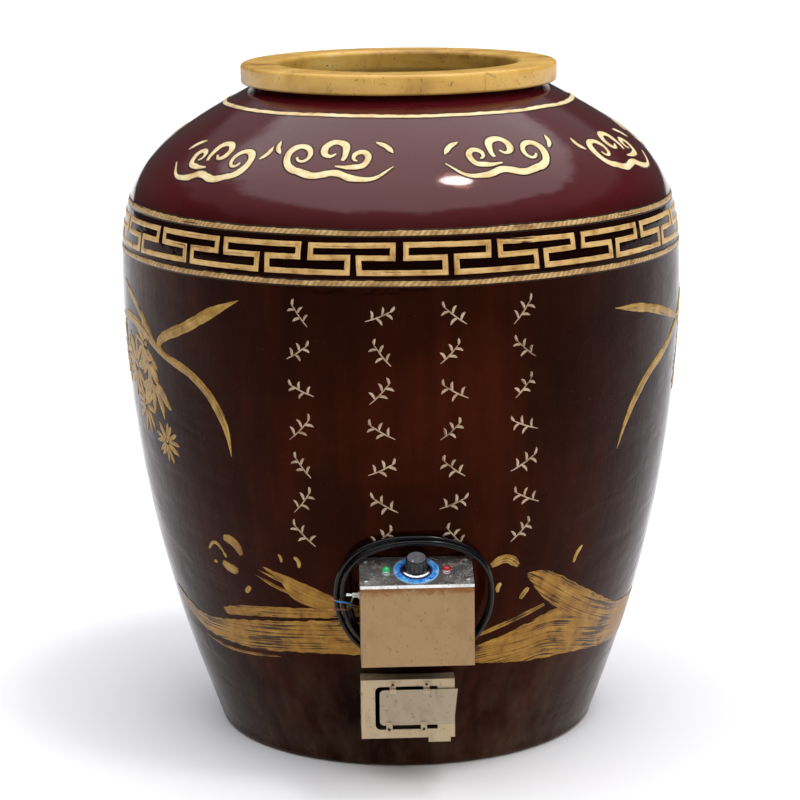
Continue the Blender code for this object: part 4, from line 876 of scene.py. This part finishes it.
# Cloud scrolls on the shoulder, as (degrees, height, side)
scrolls = {
    "size": 1.22,
    "tallness": 1.15,
    "width": 1.28,
    "lean": 0.05,
}
cloudShape = bmesh.new()
framed.append(cloudShape)
for degrees, height, mirror in (
        (-50, 0.842, 1), (-18.3, 0.853, -1), (23, 0.853, 1), (61, 0.842, -1), (97, 0.85, 1), (135, 0.85, -1),
        (173, 0.85, 1), (211, 0.85, -1), (253, 0.85, 1)):
    angle = math.radians(degrees)
    for offsets, width, taper in (
            ([(-0.07, -0.006), (-0.052, -0.02), (-0.028, -0.02), (-0.008, -0.014), (0.016, -0.018),
              (0.036, -0.013)] + curl((0.036, 0.006), 0.019, -80, 1.15, 0.25), 0.0085, (0.15, 0.35)),
            ([(-0.012, 0.002)] + curl((0.002, 0.014), 0.0165, 200, -0.95, 0.35), 0.008, (0.5, 0.3)),
            ([(-0.006, -0.006), (-0.02, -0.008)] + curl((-0.03, 0.004), 0.0135, -60, -1.05, 0.3),
             0.007, (0.3, 0.3)),
            ([(-0.066, 0.01), (-0.056, 0.02), (-0.044, 0.026)], 0.006, (0.1, 0.3)),
            ([(0.062, 0.01), (0.067, 0.018), (0.066, 0.028)], 0.0055, (0.3, 0.1))):
        brushed(cloudShape, angle, height, [(x, y * scrolls["tallness"]) for x, y in offsets],
                width * scrolls["width"], taper, scrolls["size"],
                randomHand.uniform(-scrolls["lean"], scrolls["lean"]), mirror)

# Columns of small sprigs on the body
sprigShape = bmesh.new()
sprigs = {
    "columns": ((-21.8, -23.6), (-6.1, -6.9), (7.3, 7.8), (21.5, 23.2)),
    "heights": (0.661, 0.611, 0.559, 0.506, 0.454, 0.404, 0.356),
}
for column, (topAngle, lowAngle) in enumerate(sprigs["columns"]):
    for row, height in enumerate(sprigs["heights"]):
        share = row / (len(sprigs["heights"]) - 1)
        angle = math.radians(topAngle + (lowAngle - topAngle) * share ** 2 + randomHand.uniform(-0.4, 0.4))
        mirror = 1 if (row + column) % 2 else -1
        turn = randomHand.uniform(-0.3, 0.3)
        size = randomHand.uniform(1.0, 1.2)
        brushed(sprigShape, angle, height, [(-0.016, -0.011), (-0.003, -0.002), (0.013, 0.012)], 0.002,
                (0.5, 0.2), size, turn, mirror, 0.003)
        for x, y, lean, length in ((-0.009, -0.006, 2.0, 0.011), (-0.005, -0.003, -0.55, 0.012),
                                   (0.001, 0.002, 1.9, 0.011), (0.005, 0.005, -0.35, 0.011),
                                   (0.01, 0.009, 1.5, 0.009)):
            lean += randomHand.uniform(-0.25, 0.25)
            tip = (x + length * math.cos(lean), y + length * math.sin(lean))
            middle = ((x + tip[0]) / 2 + 0.001, (y + tip[1]) / 2 + 0.001)
            brushed(sprigShape, angle, height, [(x, y), middle, tip], 0.0036, (0.3, 0.1), size, turn, mirror,
                    0.0022)


# Leaves and blossoms at both sides, as places of (degrees, height)
leafShape = bmesh.new()
roundScale = 0.38


def wallRoute(places, spacing):
    route = smoothRoute([(math.radians(a) * roundScale, z, 0) for a, z in places], spacing)
    return [(point.x / roundScale, point.y) for point in route]


def drawn(shape, places, width, taper, rise=slip["rise"]):
    painted(shape, wallRoute(places, 0.006), width, taper, rise)


for places, width, taper in (
        ([(-59.1, 0.585), (-58.7, 0.597), (-56.2, 0.608), (-48.8, 0.628), (-41.3, 0.654), (-34.8, 0.674)],
         0.016, (0.7, 0.05)),
        ([(-59.0, 0.588), (-57.0, 0.58), (-49.2, 0.565), (-43.8, 0.541), (-40.6, 0.511), (-39.2, 0.484),
          (-38.8, 0.457)], 0.0135, (0.7, 0.08)),
        ([(-58.5, 0.583), (-66.0, 0.606), (-74.0, 0.616), (-84.0, 0.612)], 0.015, (0.6, 0.1)),
        ([(-60.0, 0.588), (-68.0, 0.634), (-78.0, 0.666)], 0.012, (0.4, 0.05)),
        ([(74.0, 0.6), (66.0, 0.617), (54.0, 0.637), (43.5, 0.647)], 0.013, (0.4, 0.05)),
        ([(74.0, 0.6), (66.5, 0.572), (57.5, 0.545), (51.9, 0.513), (48.9, 0.483), (46.8, 0.448)],
         0.0135, (0.4, 0.05)),
        ([(74.0, 0.6), (82.0, 0.63), (92.0, 0.646)], 0.013, (0.4, 0.05)),
        ([(75.0, 0.598), (84.0, 0.57), (91.0, 0.53), (94.0, 0.485)], 0.013, (0.4, 0.05))):
    drawn(leafShape, places, width, taper)
    # A second pass of the brush leaves a ridge beside the first
    drawn(leafShape, [(a, z + 0.0025) for a, z in places[:-1]], width * 0.35, taper, slip["rise"] * 1.7)

# Blossoms and tufts, as (degrees, height, size, petals, first direction, spread)
for degrees, height, size, petals, turn, fan in (
        (-65.0, 0.586, 0.044, 10, 1.9, 3.9), (-61.8, 0.541, 0.054, 9, 3.5, 2.5),
        (-63.5, 0.566, 0.04, 8, 3.3, 2.6),
        (-59.4, 0.455, 0.032, 14, 0.1, 6.28), (-71.5, 0.55, 0.048, 13, 0.4, 6.28),
        (-68.0, 0.498, 0.04, 12, 0.8, 6.28), (-80.0, 0.56, 0.044, 11, 0.9, 6.28),
        (84.0, 0.588, 0.046, 13, 0.3, 6.28), (80.0, 0.52, 0.036, 12, 0.6, 6.28)):
    angle = math.radians(degrees)
    for k in range(petals):
        lean = turn + fan * k / petals + randomHand.uniform(-0.12, 0.12)
        reach = size * randomHand.uniform(0.82, 1.08)
        bend = randomHand.uniform(-0.25, 0.25)
        offsets = [(reach * part * math.cos(lean + bend * part), reach * part * math.sin(lean + bend * part))
                   for part in (0.18, 0.5, 0.8, 1.0)]
        brushed(leafShape, angle, height, offsets, size * 0.19, (0.45, 0.2), spacing=0.003)
    brushed(leafShape, angle, height, [(-size * 0.09, 0), (0, size * 0.05), (size * 0.09, 0)], size * 0.2,
            (0.6, 0.6), spacing=0.002)

# Fallen petals, as (degrees, height, length, width, lean, bow)
for degrees, height, length, width, lean, bow in (
        (-47.5, 0.317, 0.03, 0.005, 0.0, 0.01), (-41.8, 0.326, 0.036, 0.015, -0.65, 0.006),
        (-43.9, 0.291, 0.028, 0.015, -0.3, -0.003), (-39.7, 0.262, 0.014, 0.008, 0.8, 0.0),
        (-48.4, 0.294, 0.006, 0.0055, 0.0, 0.0), (-44.9, 0.308, 0.009, 0.0045, -1.0, 0.0),
        (-29.6, 0.318, 0.012, 0.0042, -1.3, 0.001), (-25.6, 0.315, 0.016, 0.006, -1.2, 0.003),
        (19.7, 0.312, 0.04, 0.014, -0.1, 0.009), (38.6, 0.306, 0.026, 0.0065, 1.1, 0.002),
        (25.1, 0.262, 0.019, 0.0085, 0.95, 0.0), (18.6, 0.276, 0.014, 0.007, 1.3, 0.002),
        (36.9, 0.252, 0.007, 0.006, 0.0, 0.0)):
    offsets = [(-length / 2, -bow / 2), (-length / 6, bow / 2), (length / 6, bow / 2), (length / 2, -bow / 2)]
    brushed(leafShape, math.radians(degrees), height, offsets, width, (0.55, 0.45), turn=lean, spacing=0.003)

# Ground at both sides: broad passes of a dry brush between an upper and a lower edge
groundShape = bmesh.new()
ground = {
    "rise": 0.0006,
    "cell": 0.006,
}


def resampled(places, count):
    route = wallRoute(places, 0.002)
    return [route[round(i * (len(route) - 1) / count)] for i in range(count + 1)]


def addGround(shape, upper, lower):
    count = max(8, round(math.radians(upper[-1][0] - upper[0][0]) * roundScale / ground["cell"]))
    upper, lower = resampled(upper, count), resampled(lower, count)
    height = max(a[1] - b[1] for a, b in zip(upper, lower))
    rows = max(4, round(height / ground["cell"]))
    grid, across = [], []
    for top, bottom in zip(upper, lower):
        column, drops = [], []
        for k in range(-1, rows + 2):
            share = min(max(k / rows, 0), 1)
            angle, z = top[0] + (bottom[0] - top[0]) * share, top[1] + (bottom[1] - top[1]) * share
            ragged = noise.noise(Vector((angle * 30, share * 9, height * 70)))
            if share in (0, 1):
                z += 0.0022 * ragged
            out = -slip["sink"] if k in (-1, rows + 1) else ground["rise"] * (1 + 0.4 * ragged)
            column.append(shape.verts.new(onWall(angle, z, out)))
            drops.append((angle * roundScale, (0.5 - share) * (top[1] - bottom[1])))
        grid.append(column)
        across.append(drops)
    weave(shape, "stroke", grid, across, (grid[0], grid[-1][::-1]))


for upper, lower in (
        ([(-74, 0.222), (-66, 0.208), (-60, 0.2), (-52, 0.203), (-44, 0.211), (-36, 0.218), (-28, 0.225),
          (-18, 0.232), (-8, 0.236)],
         [(-74, 0.205), (-66, 0.186), (-60, 0.174), (-52, 0.17), (-44, 0.169), (-36, 0.172), (-26, 0.178),
          (-14, 0.181), (-8, 0.182)]),
        ([(-49.5, 0.224), (-44, 0.233), (-36, 0.24), (-28, 0.245), (-18, 0.25), (-10, 0.25)],
         [(-48.5, 0.214), (-44, 0.218), (-36, 0.225), (-28, 0.23), (-18, 0.236), (-10, 0.238)]),
        ([(-34.4, 0.301), (-28.5, 0.292), (-22.8, 0.28), (-16.8, 0.265), (-9, 0.25)],
         [(-34.0, 0.299), (-30.5, 0.284), (-27.5, 0.258), (-20, 0.246), (-9, 0.242)]),
        ([(25.2, 0.293), (31.1, 0.289), (41.9, 0.253), (52, 0.222), (60, 0.203), (72, 0.196), (86, 0.19)],
         [(25.6, 0.284), (31.5, 0.244), (42, 0.207), (52, 0.187), (62, 0.174), (72, 0.167), (86, 0.168)]),
        ([(9, 0.18), (18.6, 0.198), (27, 0.214), (34, 0.228), (42, 0.211), (52, 0.188), (62, 0.174),
          (72, 0.168), (86, 0.17)],
         [(7, 0.166), (15, 0.163), (28.6, 0.155), (40.6, 0.152), (52, 0.144), (60, 0.139), (68, 0.136),
          (76, 0.138), (86, 0.146)])):
    addGround(groundShape, upper, lower)
drawn(groundShape, [(13, 0.203), (21, 0.219), (31, 0.239)], 0.0075, (0.2, 0.6))
drawn(groundShape, [(-37, 0.288), (-31, 0.272), (-25, 0.262)], 0.005, (0.1, 0.6))
drawn(groundShape, [(-36, 0.296), (-30, 0.283), (-24, 0.272)], 0.004, (0.1, 0.6))
drawn(groundShape, [(-62, 0.166), (-52, 0.158), (-42, 0.16), (-34, 0.165)], 0.0045, (0.2, 0.3))


# Slip paint, drawn out by the brush: light ridges, darker body and dry gaps where the glaze shows
def slipPaint(name, light, body, shade, gaps, stretch=1.0, twist=0.0):
    material, shader, place = newMaterial(name, body, 0.4)
    lines = addNode("UVMap", "UV", {}, shader.id_data, uv_map="stroke")
    bristles = noiseField(stretched(lines, 14 * stretch, 420, 1), 1.0, 4, 0.6, 0.2)
    pools = noiseField(place, 55, 5, 0.6)
    colour = ramp(pools * 0.6 + bristles * 0.4, (0.36, shade), (0.5, body), (0.66, light))
    if twist:
        turned = addNode("Mapping", 0, {"Vector": lines, "Rotation": (0, 0, math.radians(38)),
                                        "Scale": (150, 150, 1)})
        strands = addNode("TexWave", "Fac", {"Vector": turned, "Scale": 0.33, "Distortion": 6.0,
                                             "Detail": 3.0, "Detail Scale": 0.45}, bands_direction="X")
        colour = mixed(ramp(strands, (0.15, 1.0), (0.55, 0.0)) * twist, colour, shade)
    worn = noiseField(place, 17, 4) * 0.45 + bristles * 0.55
    gap = ramp(worn, (0.3 + gaps * 0.2, 1.0), (0.34 + gaps * 0.2, 0.0))
    setInputs(shader, {
        "Base Color": mixed(gap, colour, (0.024, 0.0075, 0.002)),
        "Roughness": mixed(gap, ramp(pools, (0.3, 0.26), (0.7, 0.45)), (0.16, 0.16, 0.16)),
        "Specular IOR Level": 0.28, "Specular Tint": (1.0, 0.75, 0.5)})
    bump(shader, bristles + pools, 0.0005, 0.4)
    return material


creamPaint = slipPaint("creamPaint", (0.95, 0.82, 0.52), (0.88, 0.7, 0.39), (0.64, 0.4, 0.16), 0.15)
for name, shape, paint in (
        ("carvedCuts", cutShape, slipPaint("cutPaint", (0.012, 0.004, 0.003), (0.005, 0.0016, 0.0012),
                                           (0.002, 0.001, 0.001), 0.2)),
        ("meanderBand", bandShape,
         slipPaint("bandPaint", (0.72, 0.5, 0.22), (0.58, 0.36, 0.13), (0.3, 0.145, 0.042), 0.34)),
        ("bandCords", cordShape,
         slipPaint("cordPaint", (0.66, 0.48, 0.23), (0.5, 0.32, 0.125), (0.2, 0.098, 0.034), 0.34, 1, 0.6)),
        ("shoulderRing", ringShape, creamPaint), ("cloudScrolls", cloudShape, creamPaint),
        ("leafSprigs", sprigShape,
         slipPaint("sprigPaint", (0.56, 0.43, 0.31), (0.43, 0.3, 0.2), (0.2, 0.12, 0.07), 0.4)),
        ("paintedLeaves", leafShape,
         slipPaint("leafPaint", (0.52, 0.33, 0.095), (0.32, 0.18, 0.034), (0.14, 0.066, 0.013), 0.42)),
        ("paintedGround", groundShape, slipPaint("groundPaint", (0.42, 0.235, 0.045), (0.285, 0.135, 0.018),
                                                 (0.14, 0.056, 0.008), 0.66, 0.5))):
    addPiece(name, shape, 60, paint, "glaze")
print("ornament made")


# Hardware: the controls are turned afresh on the panel's own axes, and sheet metal gets its finish and edges

panel = {
    "tilt": math.radians(20),
    "middle": Vector((0, -0.39727, 0.31956)),
    "boxTop": 0.309,
}
panelPlace = Matrix.Translation(panel["middle"]) @ Matrix.Rotation(panel["tilt"], 4, "X")


def moved(shape, matrix):
    bmesh.ops.transform(shape, matrix=matrix, verts=shape.verts)
    return shape


def spun(angle):
    return Matrix.Rotation(angle, 4, "Z")


# A finish for metal sheet: dust, rust in freckles and down from its top, fine scratches
def steelFinish(name, clean, dust, rust, metallic, roughness, rustShare, dustShare, grain, top=None):
    material, shader, place = newMaterial(name, clean, roughness, metallic)
    blotches = noiseField(place, 38, 6, 0.65, 0.4)
    fine = noiseField(place, 420, 5, 0.7)
    film = ramp(fine * (grain * 0.3) + blotches * (1 - grain * 0.3), (0.3, 0.0), (0.62, 1.0))
    colour = mixed(film * (dustShare * 0.6) + dustShare * 0.4, clean, dust)
    freckles = ramp(noiseField(place, 170, 4, 0.55), (0.6, 0.0), (0.74, 0.9))
    bleed = ramp(noiseField(stretched(place, 1, 1, 0.5), 34, 6, 0.7, 0.3), (0.5, 0.0), (0.76, 1.0))
    share = maths("MAXIMUM", freckles, bleed * 0.45) * rustShare
    colour = mixed(share, colour, darker(rust, 0.65))
    if top is not None:
        near = rising(heightOf(place), top - 0.02, top - 0.002)
        eaten = ramp(near * 0.46 + noiseField(place, 110, 7, 0.72, 1.0), (0.6, 0.0), (0.8, 0.95))
        share = maths("MAXIMUM", share, eaten)
        colour = mixed(eaten, colour, rust)
    setInputs(shader, {"Base Color": colour, "Roughness": share * 0.3 + film * 0.22 + (roughness - 0.1),
                       "Metallic": (1.0 - share) * metallic})
    scratches = noiseField(stretched(place, 1, 1, 0.03), 900, 3, 0.6)
    bump(shader, fine * 0.8 + scratches * 0.3 + share * 0.8, grain * 0.00012, 0.6)
    return material


# A plain solid stuff with a slow change of tone, a grain and an uneven gloss
def stuff(name, colour, other, roughness, metallic=0.0, scale=60.0, grain=600.0, depth=0.00005):
    material, shader, place = newMaterial(name, colour, roughness, metallic)
    tone = ramp(noiseField(place, scale, 5, 0.6, 0.3), (0.35, 0.0), (0.68, 1.0))
    gloss = ramp(noiseField(place, scale * 1.7, 4), (0.3, roughness * 0.75), (0.75, roughness * 1.35))
    setInputs(shader, {"Base Color": mixed(tone, colour, other), "Roughness": gloss})
    bump(shader, noiseField(place, grain, 4, 0.6), depth, 0.5)
    return material


# What each kind of CAD node is finished with, and how far its edges are broken
finishes = {
    "tan_steel": steelFinish("tanSteel", (0.31, 0.185, 0.08), (0.39, 0.255, 0.125), (0.23, 0.082, 0.012),
                             0.45, 0.42, 0.7, 0.7, 1.0, panel["boxTop"]),
    "grey_steel": steelFinish("greySteel", (0.45, 0.345, 0.205), (0.58, 0.455, 0.29), (0.105, 0.056, 0.026),
                              0.45, 0.46, 0.85, 0.8, 1.0),
    "bright_steel": steelFinish("brightSteel", (0.8, 0.79, 0.77), (0.66, 0.64, 0.61),
                                (0.1, 0.075, 0.055), 0.92, 0.13, 0.9, 0.55, 0.15),
    "zinc": stuff("zincPlate", (0.56, 0.55, 0.53), (0.38, 0.36, 0.33), 0.34, 1.0, 140),
    "chrome": stuff("chromePlate", (0.82, 0.82, 0.81), (0.66, 0.65, 0.64), 0.09, 1.0, 220, 900, 0.00002),
    "iron": stuff("blackIron", (0.05, 0.044, 0.04), (0.11, 0.07, 0.048), 0.62, 0.7, 34, 480, 0.0003),
    "heater_steel": stuff("heaterSteel", (0.2, 0.17, 0.15), (0.11, 0.08, 0.095), 0.38, 1.0, 26, 700),
    "brass": stuff("turnedBrass", (0.64, 0.44, 0.15), (0.4, 0.26, 0.09), 0.28, 1.0, 120),
    "ceramic": stuff("bareCeramic", (0.78, 0.74, 0.66), (0.6, 0.54, 0.45), 0.62, 0.0, 90, 900),
    "black_plastic": stuff("blackPlastic", (0.005, 0.005, 0.006), (0.012, 0.012, 0.012), 0.25, 0.0, 180, 1500,
                           0.00004),
    "grey_plastic": stuff("greyPlastic", (0.085, 0.085, 0.095), (0.15, 0.15, 0.16), 0.34, 0.0, 160, 1300),
    "copper": stuff("copperTube", (0.56, 0.22, 0.09), (0.28, 0.11, 0.06), 0.3, 1.0, 150),
    "rubber": stuff("glandRubber", (0.014, 0.014, 0.014), (0.03, 0.028, 0.026), 0.48, 0.0, 120, 1400,
                    0.00006),
}
dullSteel = steelFinish("dullSteel", (0.36, 0.285, 0.19), (0.45, 0.365, 0.255), (0.105, 0.056, 0.026),
                        0.45, 0.44, 0.7, 0.8, 1.0)
whiteInk = stuff("whiteInk", (0.78, 0.8, 0.82), (0.62, 0.66, 0.7), 0.5, 0.0, 400, 2000, 0.00001)
usualEdge = 0.0003
edges = {"tan_steel": 0.0006, "bright_steel": 0.0004, "iron": 0.0005, "heater_steel": 0, "ceramic": 0.0004,
         "copper": 0, "rubber": 0.0004}
for node in bpy.data.objects:
    if node.type != "MESH" or node.name not in frame["nodes"]:
        continue
    for slot in node.material_slots:
        kind = slot.material.name if slot.material else None
        if kind not in finishes:
            continue
        slot.material = dullSteel if node.name == "damper_plate" else finishes[kind]
        if edges.get(kind, usualEdge):
            bevel = node.modifiers.new("edges", "BEVEL")
            bevel.width = edges.get(kind, usualEdge)
            bevel.segments = 2
            bevel.limit_method = "ANGLE"
            bevel.angle_limit = math.radians(40)
            bevel.harden_normals = True

# Dial: a blue printed plate with a darker middle, ticks and plain numbers
dialLow = touch
dialTop = dialLow + 0.0008
dialPaint, shader, place = newMaterial("dialPaint", (0.02, 0.2, 0.62), 0.3)
local = addNode("Mapping", 0, {"Vector": place, "Location": tuple(-panel["middle"])})
inPanel = addNode("VectorRotate", 0, {"Vector": local, "Angle": -panel["tilt"]}, rotation_type="X_AXIS")
flat = addNode("VectorMath", 0, {0: inPanel, 1: (1, 1, 0)}, operation="MULTIPLY")
reach = addNode("VectorMath", "Value", {0: flat}, operation="LENGTH")
tone = noiseField(place, 110, 4)
colour = mixed(ramp(tone, (0.38, 0.0), (0.62, 1.0)), (0.01, 0.13, 0.52), (0.07, 0.4, 0.8))
colour = mixed(rising(reach, 0.0221, 0.0217), colour, (0.01, 0.025, 0.15))
colour = mixed(rising(reach, 0.0291, 0.0295), colour, (0.3, 0.6, 0.9))
worn = ramp(noiseField(place, 480, 4, 0.7), (0.66, 0.0), (0.72, 1.0))
setInputs(shader, {"Base Color": mixed(worn * 0.6, colour, (0.48, 0.52, 0.56)),
                   "Roughness": ramp(tone, (0.3, 0.22), (0.7, 0.38))})
bump(shader, tone, 0.00004, 0.3)
dialRim = [(0.03, dialLow)] + arc((0.02975, dialTop - 0.00025), 0.00025, 0, 90, 2)
dial = turnedShape([(0.0055, dialLow)] + dialRim + [(0.0055, dialTop)], 96, True)
addPiece("dialPlate", moved(dial, panelPlace), 40, dialPaint, "blue_plate", ("dial_ring",))

marks = []
dialSizes = {
    "start": 240,
    "span": 300,
    "numbers": 6,
    "ticks": 30,
}
for k in range(dialSizes["ticks"] + 1):
    long = k % 5 == 0
    half = 0.00022 if long else 0.00013
    far = 0.0247 if long else 0.0237
    mark = boxShape((0.0222, -half, dialTop - 0.00005), (far, half, dialTop + 0.00006))
    turn = math.radians(dialSizes["start"] - dialSizes["span"] * k / dialSizes["ticks"])
    marks.append(moved(mark, spun(turn)))
for k in range(dialSizes["numbers"] + 1):
    turn = math.radians(dialSizes["start"] - dialSizes["span"] * k / dialSizes["numbers"])
    letters = bpy.data.curves.new("number", "FONT")
    letters.body = str(50 * k)
    letters.size = 0.0044
    letters.align_x = "CENTER"
    letters.align_y = "CENTER"
    letters.extrude = 0.00005
    letters.resolution_u = 3
    number = bmesh.new()
    number.from_mesh(evaluated(linked("number", letters)))
    place = Matrix.Translation((0.027 * math.cos(turn), 0.027 * math.sin(turn), dialTop + 0.00002))
    marks.append(moved(number, place @ spun(turn - math.pi / 2)))
addPiece("dialMarks", moved(joined(marks), panelPlace), None, whiteInk, "blue_plate")

# Knob: a bright skirt, a fluted black grip with a pointer line, and a grey cap
knob = {
    "gripHeight": 0.0165,
    "sides": 192,
    "flutes": 12,
    "fluteLow": 0.0025,
    "fluteDepth": 0.0009,
    "fluteWidth": 0.45,
}
skirtLow = dialTop + 0.0003
skirtHigh = skirtLow + 0.0022
skirt = turnedShape([(0.0036, 0), (0.0193, 0), (0.0195, 0.0002), (0.0195, 0.0007), (0.0192, 0.001),
                     (0.0176, 0.0021), (0.0173, 0.0022), (0.0036, 0.0022)], 96, True, skirtLow)
addPiece("knobSkirt", moved(skirt, panelPlace), 35, finishes["chrome"], "chrome", ("knob_skirt",), "knob")

gripLow = skirtHigh + touch
grip = turnedShape([(0.0147, 0), (0.015, 0.0004), (0.015, 0.0022), (0.0147, 0.003), (0.0138, 0.0143),
                    (0.0134, 0.0156), (0.0126, 0.0163), (0.0118, knob["gripHeight"])],
                   knob["sides"], base=gripLow)
bmesh.ops.holes_fill(grip, edges=grip.edges)
for vert in grip.verts:
    x, y, height = vert.co
    if height - gripLow > knob["fluteLow"]:
        across = abs((math.atan2(y, x) / math.tau * knob["flutes"]) % 1 - 0.5) * 2
        depth = knob["fluteDepth"] * max(0.0, 1 - (across / knob["fluteWidth"]) ** 2)
        vert.co = Vector((x, y, 0)) * (1 - depth / math.hypot(x, y)) + Vector((0, 0, height))
addPiece("knobGrip", moved(grip, panelPlace), 40, finishes["black_plastic"], "black_plastic",
         ("thermostat_knob",), "knob")

capLow = gripLow + knob["gripHeight"] + touch
cap = turnedShape([(0, 0), (0.0121, 0), (0.0123, 0.0002), (0.0122, 0.0006), (0.0117, 0.001),
                   (0.0108, 0.0008), (0, 0.0006)], 72, base=capLow)
addPiece("knobCap", moved(cap, panelPlace), 35, finishes["grey_plastic"], "grey_plastic", ("knob_cap",),
         "knob")
pointer = joined([boxShape((-0.0006, 0.0085, capLow + 0.0005), (0.0006, 0.0119, capLow + 0.00105)),
                  boxShape((-0.0006, 0.0158, skirtHigh - 0.0001), (0.0006, 0.0172, skirtHigh + 0.0001))])
pointerTurn = spun(math.radians(dialSizes["start"] - 90))
addPiece("knobPointer", moved(pointer, panelPlace @ pointerTurn), None, whiteInk, "grey_plastic", (), "knob")

# Lamps: moulded lenses with fine rings inside a chromed collar
lamps = {
    "side": 0.04,
    "radius": 0.0052,
    "straight": 0.0013,
    "dome": 0.0045,
    "rings": 8,
    "ringDepth": 0.00012,
    "glow": 0.35,
}
for side, word, colour, glow in ((-1, "green", (0.008, 0.3, 0.085), (0.01, 0.6, 0.16)),
                                 (1, "red", (0.36, 0.006, 0.009), (0.42, 0.0, 0.006))):
    lensFinish, shader, place = newMaterial(word + "Lens", colour, 0.12)
    tone = noiseField(place, 320, 3)
    setInputs(shader, {
        "Base Color": mixed(ramp(tone, (0.35, 0.0), (0.7, 1.0)), colour, darker(colour, 0.45)),
        "Emission Color": glow, "Emission Strength": lamps["glow"], "Coat Weight": 0.5})
    bump(shader, tone, 0.00005, 0.4)
    dome = [(0, 0), (lamps["radius"], 0)]
    for k in range(lamps["rings"]):
        lean = math.radians(10 + 80 * k / lamps["rings"])
        ripple = lamps["ringDepth"] * (k % 2)
        dome.append(((lamps["radius"] - ripple) * math.cos(lean),
                     lamps["straight"] + (lamps["dome"] - ripple) * math.sin(lean)))
    place = panelPlace @ Matrix.Translation((side * lamps["side"], 0, touch))
    lens = moved(turnedShape(dome + [(0, 0.0058)]), place)
    addPiece(word + "Lens", lens, 60, lensFinish, word + "_lens", (word + "_lamp_lens",))
    collar = turnedShape([(0.00525, 0), (0.006, 0), (0.006, 0.0008), (0.0057, 0.0014), (0.00535, 0.0014)],
                         48, True)
    addPiece(word + "Collar", moved(collar, place), 40, finishes["chrome"], "chrome")

# Screws: pan heads with a cross
screws = {
    "side": 0.067,
    "up": 0.02286,
    "crossLength": 0.0021,
    "crossWidth": 0.00038,
    "crossLow": 0.001,
}
screw = [(0.0, -0.008), (0.0012, -0.008), (0.0016, -0.0072), (0.0016, touch), (0.0036, touch),
         (0.0036, touch + 0.0008), (0.0033, touch + 0.0014), (0.0026, touch + 0.0019),
         (0.0014, touch + 0.0022), (0.0, touch + 0.0022)]
slotCorner = Vector((screws["crossLength"], screws["crossWidth"], 0))
slotLow, slotHigh = Vector((0, 0, screws["crossLow"])), Vector((0, 0, 0.004))
screwPlaces = [(side * screws["side"], up * screws["up"]) for up in (-1, 1) for side in (-1, 1)]
for number, (x, y) in enumerate(screwPlaces, 1):
    slots = []
    for quarter in (0, math.pi / 2):
        slot = boxShape(slotLow - slotCorner, slotHigh + slotCorner)
        slots.append(cutter(moved(slot, spun(0.4 + number * 1.1) @ spun(quarter))))
    head = cutFrom(meshFrom("screw", turnedShape(screw, 32), 40), slots)
    head.transform(panelPlace @ Matrix.Translation((x, y, 0)))
    addPiece("panelScrew%d" % number, head, None, finishes["zinc"], "zinc", ("panel_screw_%d" % number,))

# Rivets hold the four clips of the shutter
rivetSizes = {
    "inset": 0.0036,
    "radius": 0.0021,
    "height": 0.0013,
}
rivets = []
for number, up in ((1, 1), (2, 1), (3, -1), (4, -1)):
    low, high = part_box("damper_guide_%d" % number)
    place = Matrix.Translation(((low[0] + high[0]) / 2, portLow[1] - touch - 0.0012,
                                high[2] - rivetSizes["inset"] if up > 0 else low[2] + rivetSizes["inset"]))
    rivet = turnedShape([(0, 0), (rivetSizes["radius"], 0), (0.0019, 0.0006), (0.0012, 0.0011),
                         (0, rivetSizes["height"])], 24)
    rivets.append(moved(rivet, place @ Matrix.Rotation(math.radians(90), 4, "X")))
addPiece("portRivets", joined(rivets), 40, finishes["iron"], "iron")
print("hardware made")


# Floor and light

studio = {
    "floor": 60,
    "sky": 0.74,
    "overhead": 0.45,
    "front": 1.0,
}
floorMaterial, shader, place = newMaterial("floorMaterial", (0.97, 0.97, 0.97), 0.8)
setInputs(shader, {"Specular IOR Level": 0.1})
floorMesh = bpy.data.meshes.new("floor")
half = studio["floor"]
floorCorners = [(-half, -half, 0), (half, -half, 0), (half, half, 0), (-half, half, 0)]
floorMesh.from_pydata(floorCorners, [], [(0, 1, 2, 3)])
floorMesh.materials.append(floorMaterial)
floor = linked("floor", floorMesh)

# A dim room with a soft line of sky, and a bright ceiling
world = bpy.data.worlds.new("studio")
bpy.context.scene.world = world
world.use_nodes = True
direction = addNode("TexCoord", "Generated", {}, world.node_tree)
skyline = noiseField(direction, 4.0, 6, 0.6) * 0.12 + (heightOf(direction) * 0.5 + 0.44)
sky = ramp(skyline, (0.5, 0.08), (0.7, 0.11), (0.74, (0.4, 0.4, 0.42)), (0.835, (0.55, 0.55, 0.57)),
           (0.855, (2.2, 2.2, 2.3)), (1.0, (2.65, 2.65, 2.75)))
setInputs(world.node_tree.nodes["Background"], {"Color": sky, "Strength": studio["sky"]})


def addSun(name, towards, strength, spread):
    data = bpy.data.lights.new(name, "SUN")
    data.energy = strength
    data.angle = math.radians(spread)
    sun = linked(name, data)
    sun.rotation_euler = Vector(towards).to_track_quat("Z", "Y").to_euler()
    return sun


addSun("overheadLight", (0.262, -0.158, 0.952), studio["overhead"], 9)
addSun("frontLight", (0.66, -0.62, 0.42), studio["front"], 70).visible_glossy = False
print("stage made")
